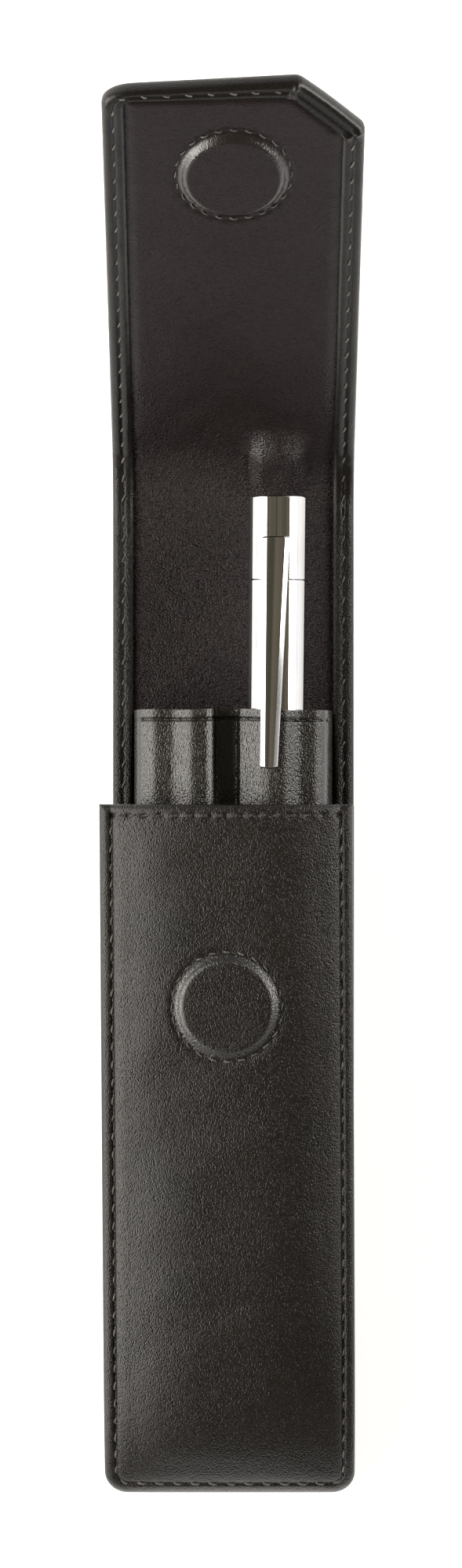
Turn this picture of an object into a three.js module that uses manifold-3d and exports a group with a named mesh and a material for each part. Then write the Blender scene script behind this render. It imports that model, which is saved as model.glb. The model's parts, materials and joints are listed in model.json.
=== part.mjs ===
// A two-pen pouch in black leather, lying on its back with the flap open, and a twist pen in one sleeve.
// Millimetres, +X across the pouch, +Y towards the flap, +Z up.
// The origin is the middle of the back panel's resting face.
import * as THREE from 'three';
import { mergeVertices } from 'three/addons/utils/BufferGeometryUtils.js';
import Module from 'manifold-3d';

const wasm = await Module();
wasm.setup();

const DEGREE = Math.PI / 180;

// Back panel and the layers of the cover
const BACK_LENGTH = 155.5;
const COVER_WIDTH = 41.4;
const BACK_CORNER = 4;
const LEAST_CORNER = 0.3;
const OUTER_LEATHER = 1.1;
const BOARD_THICK = 0.5;
const LINING_THICK = 0.6;
const LIP_THICK = 0.45;
const LIP_WIDTH = 3.4;
const EDGE_WALL = 0.9;
const LAYER_GAP = 0.1;
const BOARD_FROM_CREASE = 1.65;

// Fold band and flap, measured along the inner face from the first crease
const BAND_FLAT = 12.64;
const BEND_RADIUS = 15;
const BEND_ANGLE = 50 * DEGREE;
const FLAP_STRAIGHT = 80;
const FLAP_MAGNET_FROM_BEND = 59.95;
const FLAP_ROUND_CORNER = 3.5;
const FLAP_CUT_CORNER = 10.5;
const FLAP_SKEW = 3;
const FLAP_SKEW_LONG = 10.5;
const CREASE_GAP = 0.15;
const CREASE_NIP = 0.8;
const CREASE_RELIEF = 25.5 * DEGREE;
const CUT_PAST = 2;

// Front panel: its height rises quickly from the sewn bottom edge, then slowly to the mouth
const FRONT_LENGTH = 118.1;
const FRONT_WIDTH = 42.7;
const FRONT_CORNER = 4;
const FRONT_RISE = 9.85;
const FRONT_SWELL = 9;
const FRONT_SLOPE = 0.048;
const FRONT_CROWN = 4.5;
const FRONT_LEAN_BOTTOM = -0.6;
const FRONT_LEAN = -1.3;
const FRONT_LEATHER = 1.1;
const FRONT_LINING_THICK = 0.5;
const FRONT_LINING_INSET = 0.6;
const FRONT_LINING_FROM_BOTTOM = 1.2;
const FRONT_LINING_FROM_MOUTH = 1.5;

// Magnets under their raised discs
const MAGNET_RADIUS = 7.5;
const MAGNET_THICK = 1.25;
const MAGNET_PLAY = 0.2;
const MAGNET_SEAT = 0.35;
const MAGNET_HEADROOM = 0.05;
const BUMP_SKIN = 0.7;
const BUMP_FLAT_MARGIN = 0.1;
const BUMP_FOOT_MARGIN = 1.15;
const BUMP_ROOT = 0.6;
const MAGNET_STITCH_MARGIN = 0.6;
const FRONT_MAGNET_FROM_BOTTOM = 84.05;

// Side gussets
const GUSSET_THICK = 0.6;
const GUSSET_SETBACK = 0.2;
const GUSSET_FLANGE = 1.6;
const GUSSET_START = 5.5;
const GUSSET_PLAY = 0.55;

// Sleeve for two pens
const SLEEVE_FROM_BOTTOM = 4.75;
const SLEEVE_TOP = 56.35;
const SLEEVE_BACK_THICK = 0.5;
const SLEEVE_BACK_SETBACK = 0.5;
const SLEEVE_LEATHER = 0.9;
const SLEEVE_SIDE = 0.7;
const SLEEVE_CLEAR = 0.15;
const EMPTY_CHANNEL_HALF = 6.6;
const EMPTY_CHANNEL_RISE = 9.5;
const CHANNEL_VALLEY = 0.65;
const CHANNEL_SHOULDER = 3;
const CHANNEL_STEPS = 12;

// Pen, measured along its axis from the flat top end
const PEN_RADIUS = 4.9;
const PEN_END = new THREE.Vector3(7.5, 92.55, 12.21);
const PEN_TILT = 2.06 * DEGREE;
const PEN_LEAN = 0.5 * DEGREE;
const PEN_CLEAR = 0.25;
const PEN_SIDE_PLAY = 2.1;
const PEN_SEAM = 14.2;
const PEN_SPIGOT_LONG = 6;
const PEN_WALL = 1;
const PEN_BAND_AT = 70.3;
const PEN_BAND_LONG = 3;
const PEN_NECK_LONG = 10;
const PEN_NECK_WALL = 0.8;
const PEN_SHOULDER_LONG = 16;
const PEN_SHOULDER_DROP = 0.25;
const PEN_CONE_AT = 116;
const PEN_CONE_RADIUS = 3.8;
const PEN_LENGTH = 132;
const PEN_GAP = 0.3;
const PEN_EDGE = 0.5;
const MECHANISM_AT = 22;
const MECHANISM_LONG = 35;
const TIP_SPIGOT_LONG = 6;
const TIP_WALL = 0.4;
const TIP_HOLE_LONG = 2;
const TIP_FUNNEL_LONG = 4;
const REFILL_AT = 30;
const REFILL_RADIUS = 1.4;
const REFILL_POINT_RADIUS = 0.5;
const REFILL_STROKE = 3;
const REFILL_NOSE_LONG = 2.5;
const REFILL_SHORT = 0.8;
const CLIP_AT = 7;
const CLIP_LONG = 39;
const CLIP_LIFT = 1.25;
const CLIP_THICK = 0.8;
const CLIP_LEFT = -2.65;
const CLIP_RIGHT = 2.05;
const CLIP_TIP_RIGHT = 0.35;
const CLIP_CORNER = 0.4;
const CLIP_FOOT_LEFT = -1.8;
const CLIP_FOOT_RIGHT = 1.2;
const CLIP_FOOT_FROM = 0.3;
const CLIP_FOOT_LONG = 1.6;
const CLIP_FOOT_DEEP = 1.6;
const CLIP_WELD = 0.2;

// Sewing thread
const THREAD_RADIUS = 0.25;
const THREAD_LIFT = 0.33;
const THREAD_SIDES = 5;
const THREAD_INSET = 1.75;
const THREAD_FROM_CREASE = 1.7;
const THREAD_FROM_FRONT = 1.6;
const FRONT_STITCH_INSET = 2;
const FRONT_SEAM_FROM_MOUTH = 4;
const MOUTH_STITCH_INSET = 1.9;
const RING_EXTRA_LIFT = 0.08;
const SLEEVE_STITCH_INSET = 1.7;
const SLEEVE_THREAD_LIFT = 0.53;
const SLEEVE_THREAD_REACH = 0.999;
const CLIP_PASSES = 0.42;

// Heights of the cover's layers above its outer face
const BOARD_LOW = OUTER_LEATHER + LAYER_GAP;
const BOARD_TOP = BOARD_LOW + BOARD_THICK;
const LINING_LOW = BOARD_TOP + LAYER_GAP;
const INNER_FACE = LINING_LOW + LINING_THICK;
const LIP_LOW = INNER_FACE + LAYER_GAP;
const LIP_TOP = LIP_LOW + LIP_THICK;
const LINING_INSET = EDGE_WALL + LAYER_GAP;

const BACK_BOTTOM = -BACK_LENGTH / 2;
const CREASE_A = BACK_LENGTH / 2;
const BEND_START = BAND_FLAT;
const BEND_END = BEND_START + BEND_RADIUS * BEND_ANGLE;
const CREASE_B = BEND_START + BEND_RADIUS * BEND_ANGLE / 2;
const FLAP_TIP = BEND_END + FLAP_STRAIGHT;
const COVER_HALF = COVER_WIDTH / 2;

const FRONT_HALF = FRONT_WIDTH / 2;
const FRONT_EDGE = LIP_TOP + LAYER_GAP + FRONT_LEATHER;
const FRONT_LINING_TOP = FRONT_LEATHER + LAYER_GAP;
const FRONT_LINING_LOW = FRONT_LINING_TOP + FRONT_LINING_THICK;

const MAGNET_POCKET = MAGNET_RADIUS + MAGNET_PLAY;
const BUMP_FLAT = MAGNET_RADIUS + BUMP_FLAT_MARGIN;
const BUMP_FOOT = MAGNET_RADIUS + BUMP_FOOT_MARGIN;
const BUMP_HEIGHT = OUTER_LEATHER + MAGNET_SEAT + MAGNET_THICK + BUMP_SKIN - INNER_FACE;
const MAGNET_STITCH = BUMP_FOOT + MAGNET_STITCH_MARGIN;

const SLEEVE_BOTTOM = BACK_BOTTOM + SLEEVE_FROM_BOTTOM;
const SLEEVE_BACK_LOW = INNER_FACE + LAYER_GAP;
const SLEEVE_BACK_TOP = SLEEVE_BACK_LOW + SLEEVE_BACK_THICK;
const SLEEVE_LOW = SLEEVE_BACK_TOP + LAYER_GAP;
const PEN_CHANNEL_HALF = PEN_RADIUS + PEN_SIDE_PLAY;
const PEN_CHANNEL_LEFT = penAxis(SLEEVE_BOTTOM).x - PEN_CHANNEL_HALF - SLEEVE_SIDE;
const EMPTY_CHANNEL_X = PEN_CHANNEL_LEFT - CHANNEL_VALLEY - SLEEVE_SIDE - EMPTY_CHANNEL_HALF;
const EMPTY_CHANNEL_CREST = SLEEVE_LOW + EMPTY_CHANNEL_RISE;
const SLEEVE_HALF_WIDTH = EMPTY_CHANNEL_HALF + SLEEVE_SIDE - EMPTY_CHANNEL_X;
const GUSSET_OUT = COVER_HALF - GUSSET_SETBACK;
const GUSSET_FOLD = SLEEVE_HALF_WIDTH + GUSSET_PLAY;

const PEN_BORE = PEN_RADIUS - PEN_WALL;
const PEN_CORE = PEN_BORE - PEN_GAP;
const LOWER_BORE = PEN_CORE - PEN_NECK_WALL;
const REFILL_BORE = REFILL_RADIUS + PEN_GAP;
const TIP_HOLE = REFILL_POINT_RADIUS + PEN_GAP;

const LEATHER = new THREE.MeshStandardMaterial({ color: 0x302c2a, roughness: 0.5 });
const LINING = new THREE.MeshStandardMaterial({ color: 0x302b2a, roughness: 0.6 });
const BOARD = new THREE.MeshStandardMaterial({ color: 0x8a7b66, roughness: 0.9 });
const THREAD = new THREE.MeshStandardMaterial({ color: 0x1f1d1b, roughness: 0.7 });
const CHROME = new THREE.MeshStandardMaterial({ color: 0xd9dadb, roughness: 0.08, metalness: 1 });
const STEEL = new THREE.MeshStandardMaterial({ color: 0xb8b9ba, roughness: 0.3, metalness: 1 });
const BRASS = new THREE.MeshStandardMaterial({ color: 0xb9975b, roughness: 0.3, metalness: 1 });
const PLASTIC = new THREE.MeshStandardMaterial({ color: 0x2a2a2c, roughness: 0.6 });

// Solids from lists of points

function closedGeometry(points, triangles) {
  const geometry = new THREE.BufferGeometry();
  geometry.setAttribute('position', new THREE.Float32BufferAttribute(points.flatMap((p) => p.toArray()), 3));
  const volume = triangles.reduce((sum, [a, b, c]) => (
    sum + points[a].dot(new THREE.Vector3().crossVectors(points[b], points[c]))
  ), 0);
  const outward = volume > 0 ? triangles : triangles.map(([a, b, c]) => [a, c, b]);
  geometry.setIndex(outward.flat());
  return geometry;
}

// Skin over two matching grids of points, such as the two faces of a leather sheet
function sheet(top, bottom) {
  const rows = top.length;
  const columns = top[0].length;
  const points = [...top.flat(), ...bottom.flat()];
  const upper = (row, column) => row * columns + column;
  const lower = (row, column) => rows * columns + upper(row, column);
  const triangles = [];
  const quad = (a, b, c, d) => triangles.push([a, b, c], [a, c, d]);
  for (let row = 0; row + 1 < rows; row += 1) {
    for (let column = 0; column + 1 < columns; column += 1) {
      quad(upper(row, column), upper(row, column + 1), upper(row + 1, column + 1), upper(row + 1, column));
      quad(lower(row, column), lower(row + 1, column), lower(row + 1, column + 1), lower(row, column + 1));
    }
  }
  for (let row = 0; row + 1 < rows; row += 1) {
    const end = columns - 1;
    quad(upper(row, 0), upper(row + 1, 0), lower(row + 1, 0), lower(row, 0));
    quad(upper(row, end), lower(row, end), lower(row + 1, end), upper(row + 1, end));
  }
  for (let column = 0; column + 1 < columns; column += 1) {
    const end = rows - 1;
    quad(upper(0, column), lower(0, column), lower(0, column + 1), upper(0, column + 1));
    quad(upper(end, column), upper(end, column + 1), lower(end, column + 1), lower(end, column));
  }
  return closedGeometry(points, triangles);
}

// Skin through matching closed outlines, each given as points round a flat section
function loft(sections, flatten) {
  const count = sections[0].length;
  const points = sections.flat();
  const triangles = [];
  for (let section = 0; section + 1 < sections.length; section += 1) {
    for (let corner = 0; corner < count; corner += 1) {
      const next = (corner + 1) % count;
      const a = section * count;
      const b = a + count;
      triangles.push([a + corner, a + next, b + next], [a + corner, b + next, b + corner]);
    }
  }
  const last = (sections.length - 1) * count;
  const firstCap = THREE.ShapeUtils.triangulateShape(sections[0].map(flatten), []);
  const lastCap = THREE.ShapeUtils.triangulateShape(sections.at(-1).map(flatten), []);
  const around = sections[0].map(flatten);
  const turnsLeft = THREE.ShapeUtils.area(around) > 0;
  const facing = ([a, b, c], flip) => (flip ? [c, b, a] : [a, b, c]);
  const capTurnsLeft = (cap, outline) => {
    const [a, b, c] = cap[0].map((i) => outline[i]);
    return (b.x - a.x) * (c.y - a.y) - (b.y - a.y) * (c.x - a.x) > 0;
  };
  const firstFlip = capTurnsLeft(firstCap, around) === turnsLeft;
  const lastFlip = capTurnsLeft(lastCap, sections.at(-1).map(flatten)) !== turnsLeft;
  firstCap.forEach((triangle) => triangles.push(facing(triangle, firstFlip)));
  lastCap.forEach((triangle) => triangles.push(facing(triangle, lastFlip).map((i) => i + last)));
  return closedGeometry(points, triangles);
}

// Round thread through a list of points, open or closed in a ring
function threadTube(path, closed = false) {
  const tangents = path.map((point, i) => {
    const before = path[closed ? (i + path.length - 1) % path.length : Math.max(i - 1, 0)];
    const after = path[closed ? (i + 1) % path.length : Math.min(i + 1, path.length - 1)];
    return after.clone().sub(before).normalize();
  });
  const points = [];
  const triangles = [];
  path.forEach((point, i) => {
    const up = Math.abs(tangents[i].z) > 0.9 ? new THREE.Vector3(1, 0, 0) : new THREE.Vector3(0, 0, 1);
    const side = new THREE.Vector3().crossVectors(tangents[i], up).normalize();
    const over = new THREE.Vector3().crossVectors(side, tangents[i]);
    for (let step = 0; step < THREAD_SIDES; step += 1) {
      const turn = 2 * Math.PI * step / THREAD_SIDES;
      const offset = side.clone().multiplyScalar(THREAD_RADIUS * Math.cos(turn));
      points.push(point.clone().add(offset).addScaledVector(over, THREAD_RADIUS * Math.sin(turn)));
    }
  });
  const rings = path.length;
  for (let ring = 0; ring < (closed ? rings : rings - 1); ring += 1) {
    const a = ring * THREAD_SIDES;
    const b = ((ring + 1) % rings) * THREAD_SIDES;
    for (let step = 0; step < THREAD_SIDES; step += 1) {
      const next = (step + 1) % THREAD_SIDES;
      triangles.push([a + step, a + next, b + next], [a + step, b + next, b + step]);
    }
  }
  if (!closed) {
    const last = (rings - 1) * THREAD_SIDES;
    for (let step = 1; step + 1 < THREAD_SIDES; step += 1) {
      triangles.push([0, step + 1, step], [last, last + step, last + step + 1]);
    }
  }
  return closedGeometry(points, triangles);
}

// Cutting and joining

function toSolid(geometry) {
  const bare = geometry.clone();
  bare.deleteAttribute('normal');
  bare.deleteAttribute('uv');
  const merged = mergeVertices(bare, 1e-4);
  return new wasm.Manifold(new wasm.Mesh({
    numProp: 3,
    vertProperties: new Float32Array(merged.attributes.position.array),
    triVerts: new Uint32Array(merged.index.array),
  }));
}

function toGeometry(solid) {
  const mesh = solid.getMesh();
  const geometry = new THREE.BufferGeometry();
  geometry.setAttribute('position', new THREE.Float32BufferAttribute(mesh.vertProperties, 3));
  geometry.setIndex(Array.from(mesh.triVerts));
  return geometry;
}

function cut(geometry, ...tools) {
  return toGeometry(tools.reduce((solid, tool) => solid.subtract(toSolid(tool)), toSolid(geometry)));
}

function join(geometry, ...others) {
  return toGeometry(others.reduce((solid, other) => solid.add(toSolid(other)), toSolid(geometry)));
}

function block(x0, x1, y0, y1, z0, z1) {
  const box = new THREE.BoxGeometry(x1 - x0, y1 - y0, z1 - z0);
  return box.translate((x0 + x1) / 2, (y0 + y1) / 2, (z0 + z1) / 2);
}

// Upright round plug between two heights, with a radius at each
function plug(radiusLow, radiusHigh, low, high, segments = 36) {
  const geometry = new THREE.CylinderGeometry(radiusHigh, radiusLow, high - low, segments);
  return geometry.rotateX(Math.PI / 2).translate(0, 0, (low + high) / 2);
}

function between(start, end, steps) {
  return Array.from({ length: steps + 1 }, (_, i) => start + (end - start) * i / steps);
}

// Back panel

function backOutline(inset, end) {
  const half = COVER_HALF - inset;
  const bottom = BACK_BOTTOM + inset;
  const radius = Math.max(BACK_CORNER - inset, LEAST_CORNER);
  const shape = new THREE.Shape();
  shape.moveTo(half, end);
  shape.lineTo(-half, end);
  shape.lineTo(-half, bottom + radius);
  shape.absarc(-half + radius, bottom + radius, radius, Math.PI, 1.5 * Math.PI, false);
  shape.lineTo(half - radius, bottom);
  shape.absarc(half - radius, bottom + radius, radius, 1.5 * Math.PI, 2 * Math.PI, false);
  shape.closePath();
  return shape;
}

function backPlate(inset, end, low, high) {
  const options = { depth: high - low, bevelEnabled: false, curveSegments: 5 };
  return new THREE.ExtrudeGeometry(backOutline(inset, end), options).translate(0, 0, low);
}

function backOuter() {
  const end = CREASE_A - CREASE_GAP;
  const past = CREASE_A + CUT_PAST;
  return cut(
    backPlate(0, end, 0, LIP_TOP),
    backPlate(EDGE_WALL, past, OUTER_LEATHER, LIP_LOW),
    backPlate(LIP_WIDTH, past, INNER_FACE, LIP_TOP + CUT_PAST),
    block(-COVER_WIDTH, COVER_WIDTH, CREASE_A - CREASE_NIP, past, INNER_FACE, LIP_TOP + CUT_PAST),
  );
}

// Fold band and flap: across, along the inner face from the first crease, and above the outer face

// The flap's tip runs askew, so that its left end is the shorter one
function tipSkew(x, along) {
  const into = Math.max(along - (FLAP_TIP - FLAP_SKEW_LONG), 0) / FLAP_SKEW_LONG;
  return FLAP_SKEW * into * into * (COVER_HALF - x) / COVER_WIDTH;
}

function coverPoint(x, along, height) {
  const angle = THREE.MathUtils.clamp((along - BEND_START) / BEND_RADIUS, 0, BEND_ANGLE);
  const level = Math.min(along, BEND_START);
  const rest = Math.max(along - BEND_END, 0) - tipSkew(x, along);
  const reach = BEND_RADIUS - (height - INNER_FACE);
  const y = CREASE_A + level + reach * Math.sin(angle) + rest * Math.cos(angle);
  const z = INNER_FACE + BEND_RADIUS - reach * Math.cos(angle) + rest * Math.sin(angle);
  return new THREE.Vector3(x, y, z);
}

const evenSides = (inset) => () => [-(COVER_HALF - inset), COVER_HALF - inset];

// The flap has a rounded corner on its left and a corner cut off at 45 degrees on its right
function flapSides(inset) {
  const left = -(COVER_HALF - inset);
  const right = COVER_HALF - inset;
  const tip = FLAP_TIP - inset;
  const radius = Math.max(FLAP_ROUND_CORNER - inset, LEAST_CORNER);
  const cutLine = COVER_HALF + FLAP_TIP - FLAP_CUT_CORNER - inset * Math.SQRT2;
  return (along) => {
    const into = Math.max(along - (tip - radius), 0);
    const rounding = radius - Math.sqrt(Math.max(radius * radius - into * into, 0));
    return [left + rounding, Math.min(right, cutLine - along)];
  };
}

function flapStations(start, inset) {
  const tip = FLAP_TIP - inset;
  const radius = Math.max(FLAP_ROUND_CORNER - inset, LEAST_CORNER);
  const cutLine = COVER_HALF + FLAP_TIP - FLAP_CUT_CORNER - inset * Math.SQRT2;
  const cutStart = cutLine - (COVER_HALF - inset);
  const bend = between(CREASE_B, BEND_END, 4).slice(1).filter((along) => along > start);
  const corner = between(0, Math.PI / 2, 5).map((turn) => tip - radius + radius * Math.sin(turn));
  return [start, ...bend, cutStart, ...corner];
}

// Strip of the cover between two heights; relief slants an end face back from its crease below the inner face
function coverStrip(stations, sides, low, high, relief = { start: 0, end: 0 }) {
  const faceAt = (height) => stations.map((along, i) => {
    const back = Math.max(INNER_FACE - height, 0) * Math.tan(CREASE_RELIEF);
    const shift = (i === 0 ? back * relief.start : 0) - (i === stations.length - 1 ? back * relief.end : 0);
    return sides(along).map((x) => coverPoint(x, along + shift, height));
  });
  return sheet(faceAt(high), faceAt(low));
}

const BAND_BEND = between(BEND_START, CREASE_B, 4);
const BAND_STATIONS = [CREASE_GAP, ...BAND_BEND.slice(0, -1), CREASE_B - CREASE_GAP];
const BAND_PAST = [-CUT_PAST, ...BAND_BEND, CREASE_B + CUT_PAST];

function foldOuter() {
  const nip = (start, end) => coverStrip([start, end], evenSides(-CUT_PAST), INNER_FACE, LIP_TOP + CUT_PAST);
  return cut(
    coverStrip(BAND_STATIONS, evenSides(0), 0, LIP_TOP, { start: 0, end: 1 }),
    coverStrip(BAND_PAST, evenSides(EDGE_WALL), OUTER_LEATHER, LIP_LOW),
    coverStrip(BAND_PAST, evenSides(LIP_WIDTH), INNER_FACE, LIP_TOP + CUT_PAST),
    nip(-CUT_PAST, CREASE_NIP),
    nip(CREASE_B - CREASE_NIP, CREASE_B + CUT_PAST),
  );
}

function foldLining() {
  return coverStrip(BAND_STATIONS, evenSides(LINING_INSET), LINING_LOW, INNER_FACE, { start: 0, end: 1 });
}

function flapOuter() {
  const start = CREASE_B + CREASE_GAP;
  const before = CREASE_B - CUT_PAST;
  const nipStations = [before, CREASE_B + CREASE_NIP];
  return cut(
    coverStrip(flapStations(start, 0), flapSides(0), 0, LIP_TOP, { start: 1, end: 0 }),
    coverStrip(flapStations(before, EDGE_WALL), flapSides(EDGE_WALL), OUTER_LEATHER, LIP_LOW),
    coverStrip(flapStations(before, LIP_WIDTH), flapSides(LIP_WIDTH), INNER_FACE, LIP_TOP + CUT_PAST),
    coverStrip(nipStations, evenSides(-CUT_PAST), INNER_FACE, LIP_TOP + CUT_PAST),
  );
}

// Places a piece made upright at the flap's magnet, whose local z is the height above the outer face
function atFlapMagnet(geometry) {
  const foot = coverPoint(0, BEND_END + FLAP_MAGNET_FROM_BEND, 0);
  return geometry.rotateX(BEND_ANGLE).translate(foot.x, foot.y, foot.z);
}

const FLAP_MAGNET_TOP = INNER_FACE + BUMP_HEIGHT - BUMP_SKIN;

function flapBoard() {
  const stations = flapStations(BEND_END + BOARD_FROM_CREASE, LINING_INSET);
  const board = coverStrip(stations, flapSides(LINING_INSET), BOARD_LOW, BOARD_TOP);
  return cut(board, atFlapMagnet(plug(MAGNET_POCKET, MAGNET_POCKET, 0, INNER_FACE)));
}

function flapLining() {
  const stations = flapStations(CREASE_B + CREASE_GAP, LINING_INSET);
  const lining = coverStrip(stations, flapSides(LINING_INSET), LINING_LOW, INNER_FACE, { start: 1, end: 0 });
  const root = LINING_THICK / 2;
  const bump = plug(BUMP_FOOT + root, BUMP_FLAT, INNER_FACE - root, INNER_FACE + BUMP_HEIGHT);
  const pocket = plug(MAGNET_POCKET, MAGNET_POCKET, 0, FLAP_MAGNET_TOP + MAGNET_HEADROOM);
  return cut(join(lining, atFlapMagnet(bump)), atFlapMagnet(pocket));
}

function flapMagnet() {
  return atFlapMagnet(plug(MAGNET_RADIUS, MAGNET_RADIUS, FLAP_MAGNET_TOP - MAGNET_THICK, FLAP_MAGNET_TOP));
}

// Front panel: a place is its share of the half width across, and its distance from the bottom edge

function frontHeight(share, fromBottom) {
  const swell = 1 - Math.exp(-fromBottom / FRONT_SWELL);
  const rise = (FRONT_RISE - FRONT_CROWN * Math.abs(share) ** 3) * swell;
  return FRONT_EDGE + rise + FRONT_SLOPE * fromBottom;
}

const frontLean = (fromBottom) =>
  FRONT_LEAN_BOTTOM + (FRONT_LEAN - FRONT_LEAN_BOTTOM) * fromBottom / FRONT_LENGTH;

function frontHalf(fromBottom, inset = 0) {
  const radius = FRONT_CORNER - inset;
  const into = Math.max(FRONT_CORNER - fromBottom, 0);
  return FRONT_HALF - FRONT_CORNER + Math.sqrt(Math.max(radius * radius - into * into, 0));
}

// Point on the panel at x from its own leaning middle line
function frontPoint(x, fromBottom, depth) {
  const z = frontHeight(x / FRONT_HALF, fromBottom) - depth;
  return new THREE.Vector3(frontLean(fromBottom) + x, BACK_BOTTOM + fromBottom, z);
}

const FRONT_SHARES = [-1, -0.9, -0.75, -0.55, -0.3, 0, 0.3, 0.55, 0.75, 0.9, 1];

function frontLayer(start, end, inset, depthTop, depthLow) {
  const rounding = between(0, Math.PI / 2, 4).map((turn) => FRONT_CORNER * (1 - Math.cos(turn)));
  const swelling = between(0, 1, 9).map((step) => FRONT_CORNER + (end - FRONT_CORNER) * step ** 2);
  const rows = [...rounding.map((d) => Math.max(d, start)), ...swelling.slice(1)];
  const distinct = rows.filter((row, i) => i === 0 || row > rows[i - 1] + 0.05);
  const face = (depth) => distinct.map((fromBottom) => (
    FRONT_SHARES.map((share) => frontPoint(share * frontHalf(fromBottom, inset), fromBottom, depth))
  ));
  return sheet(face(depthTop), face(depthLow));
}

// Places a piece made upright at the front magnet, whose local z is the height above the panel
function atFrontMagnet(geometry) {
  const foot = frontPoint(0, FRONT_MAGNET_FROM_BOTTOM, 0);
  return geometry.rotateX(Math.atan(FRONT_SLOPE)).translate(foot.x, foot.y, foot.z);
}

const FRONT_MAGNET_TOP = BUMP_HEIGHT - BUMP_SKIN;

function frontOuter() {
  const panel = frontLayer(0, FRONT_LENGTH, 0, 0, FRONT_LEATHER);
  const bump = plug(BUMP_FOOT + BUMP_ROOT, BUMP_FLAT, -BUMP_ROOT, BUMP_HEIGHT);
  const pocketTop = FRONT_MAGNET_TOP + MAGNET_HEADROOM;
  const pocket = plug(MAGNET_POCKET, MAGNET_POCKET, -FRONT_LEATHER - CUT_PAST, pocketTop);
  return cut(join(panel, atFrontMagnet(bump)), atFrontMagnet(pocket));
}

function frontLining() {
  const end = FRONT_LENGTH - FRONT_LINING_FROM_MOUTH;
  return frontLayer(FRONT_LINING_FROM_BOTTOM, end, FRONT_LINING_INSET, FRONT_LINING_TOP, FRONT_LINING_LOW);
}

function frontMagnet() {
  return atFrontMagnet(plug(MAGNET_RADIUS, MAGNET_RADIUS, FRONT_MAGNET_TOP - MAGNET_THICK, FRONT_MAGNET_TOP));
}

// Side gusset: a strip folded inwards between the back's turned edge and the front panel's edge

function gusset(side) {
  const rows = between(0, 1, 8).map((step) => GUSSET_START + (FRONT_LENGTH - GUSSET_START) * step ** 1.6);
  const flange = GUSSET_OUT - GUSSET_FLANGE;
  const sections = rows.map((fromBottom) => {
    const lean = frontLean(fromBottom);
    const low = LIP_TOP + LAYER_GAP;
    const under = (x) => frontPoint(side * x, fromBottom, FRONT_LINING_LOW + LAYER_GAP).z;
    const middle = (low + under(flange)) / 2;
    const spread = GUSSET_THICK / (2 * Math.SQRT2);
    const outline = [
      [GUSSET_OUT, low, 0],
      [GUSSET_OUT, low + GUSSET_THICK, 0],
      [flange + spread, low + GUSSET_THICK, 0],
      [GUSSET_FOLD + 2 * spread, middle, 0.5],
      [flange + spread, under(flange + spread) - GUSSET_THICK, 1],
      [GUSSET_OUT, under(GUSSET_OUT) - GUSSET_THICK, 1],
      [GUSSET_OUT, under(GUSSET_OUT), 1],
      [flange - spread, under(flange - spread), 1],
      [GUSSET_FOLD, middle, 0.5],
      [flange - spread, low, 0],
    ];
    return outline.map(([x, z, share]) => (
      new THREE.Vector3(side * x + lean * share, BACK_BOTTOM + fromBottom, z)
    ));
  });
  return loft(sections, (p) => new THREE.Vector2(p.x, p.z));
}

// Sleeve: two raised channels in one sheet, the right one following the pen

function penAxis(y) {
  const back = PEN_END.y - y;
  return { x: PEN_END.x - back * Math.tan(PEN_LEAN), z: PEN_END.z - back * Math.tan(PEN_TILT) };
}

// Height of a channel at a share of its half width, as a share of its crest
const channelArch = (share) => (1 - Math.abs(share) ** 3) ** 0.625;

function channelRow(y, middle, half, crest) {
  return between(-1, 1, CHANNEL_STEPS).map((step) => {
    const share = Math.sin(step * Math.PI / 2);
    const arch = channelArch(share);
    const inner = new THREE.Vector3(middle + half * share, y, SLEEVE_LOW + (crest - SLEEVE_LOW) * arch);
    const outerLow = SLEEVE_LOW + SLEEVE_LEATHER;
    const outerCrest = crest + SLEEVE_LEATHER;
    const outerZ = outerLow + (outerCrest - outerLow) * arch;
    return [inner, new THREE.Vector3(middle + (half + SLEEVE_SIDE) * share, y, outerZ)];
  });
}

function sleeveFront() {
  const length = SLEEVE_TOP - SLEEVE_BOTTOM;
  const rows = between(0, 1, 12).map((step) => SLEEVE_BOTTOM + length * step ** 1.8);
  const grid = rows.map((y) => {
    const axis = penAxis(y);
    const fromBottom = Math.min(y - BACK_BOTTOM, FRONT_LENGTH);
    const room = (x) => (
      frontHeight((x - frontLean(fromBottom)) / FRONT_HALF, fromBottom)
      - FRONT_LINING_LOW - SLEEVE_LEATHER - SLEEVE_CLEAR
    );
    const emptyCrest = Math.min(EMPTY_CHANNEL_CREST, room(EMPTY_CHANNEL_X - CHANNEL_SHOULDER));
    const penCrest = Math.min(axis.z + PEN_RADIUS + PEN_CLEAR, room(axis.x + CHANNEL_SHOULDER));
    const edge = (x) => [
      new THREE.Vector3(x, y, SLEEVE_LOW),
      new THREE.Vector3(x, y, SLEEVE_LOW + SLEEVE_LEATHER),
    ];
    return [
      ...channelRow(y, EMPTY_CHANNEL_X, EMPTY_CHANNEL_HALF, emptyCrest),
      ...channelRow(y, axis.x, PEN_CHANNEL_HALF, penCrest),
      edge(SLEEVE_HALF_WIDTH),
    ];
  });
  return sheet(grid.map((row) => row.map((pair) => pair[1])), grid.map((row) => row.map((pair) => pair[0])));
}

function sleeveBack() {
  const end = SLEEVE_TOP - SLEEVE_BACK_SETBACK;
  return block(-SLEEVE_HALF_WIDTH, SLEEVE_HALF_WIDTH, SLEEVE_BOTTOM, end, SLEEVE_BACK_LOW, SLEEVE_BACK_TOP);
}

// Threads

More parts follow.
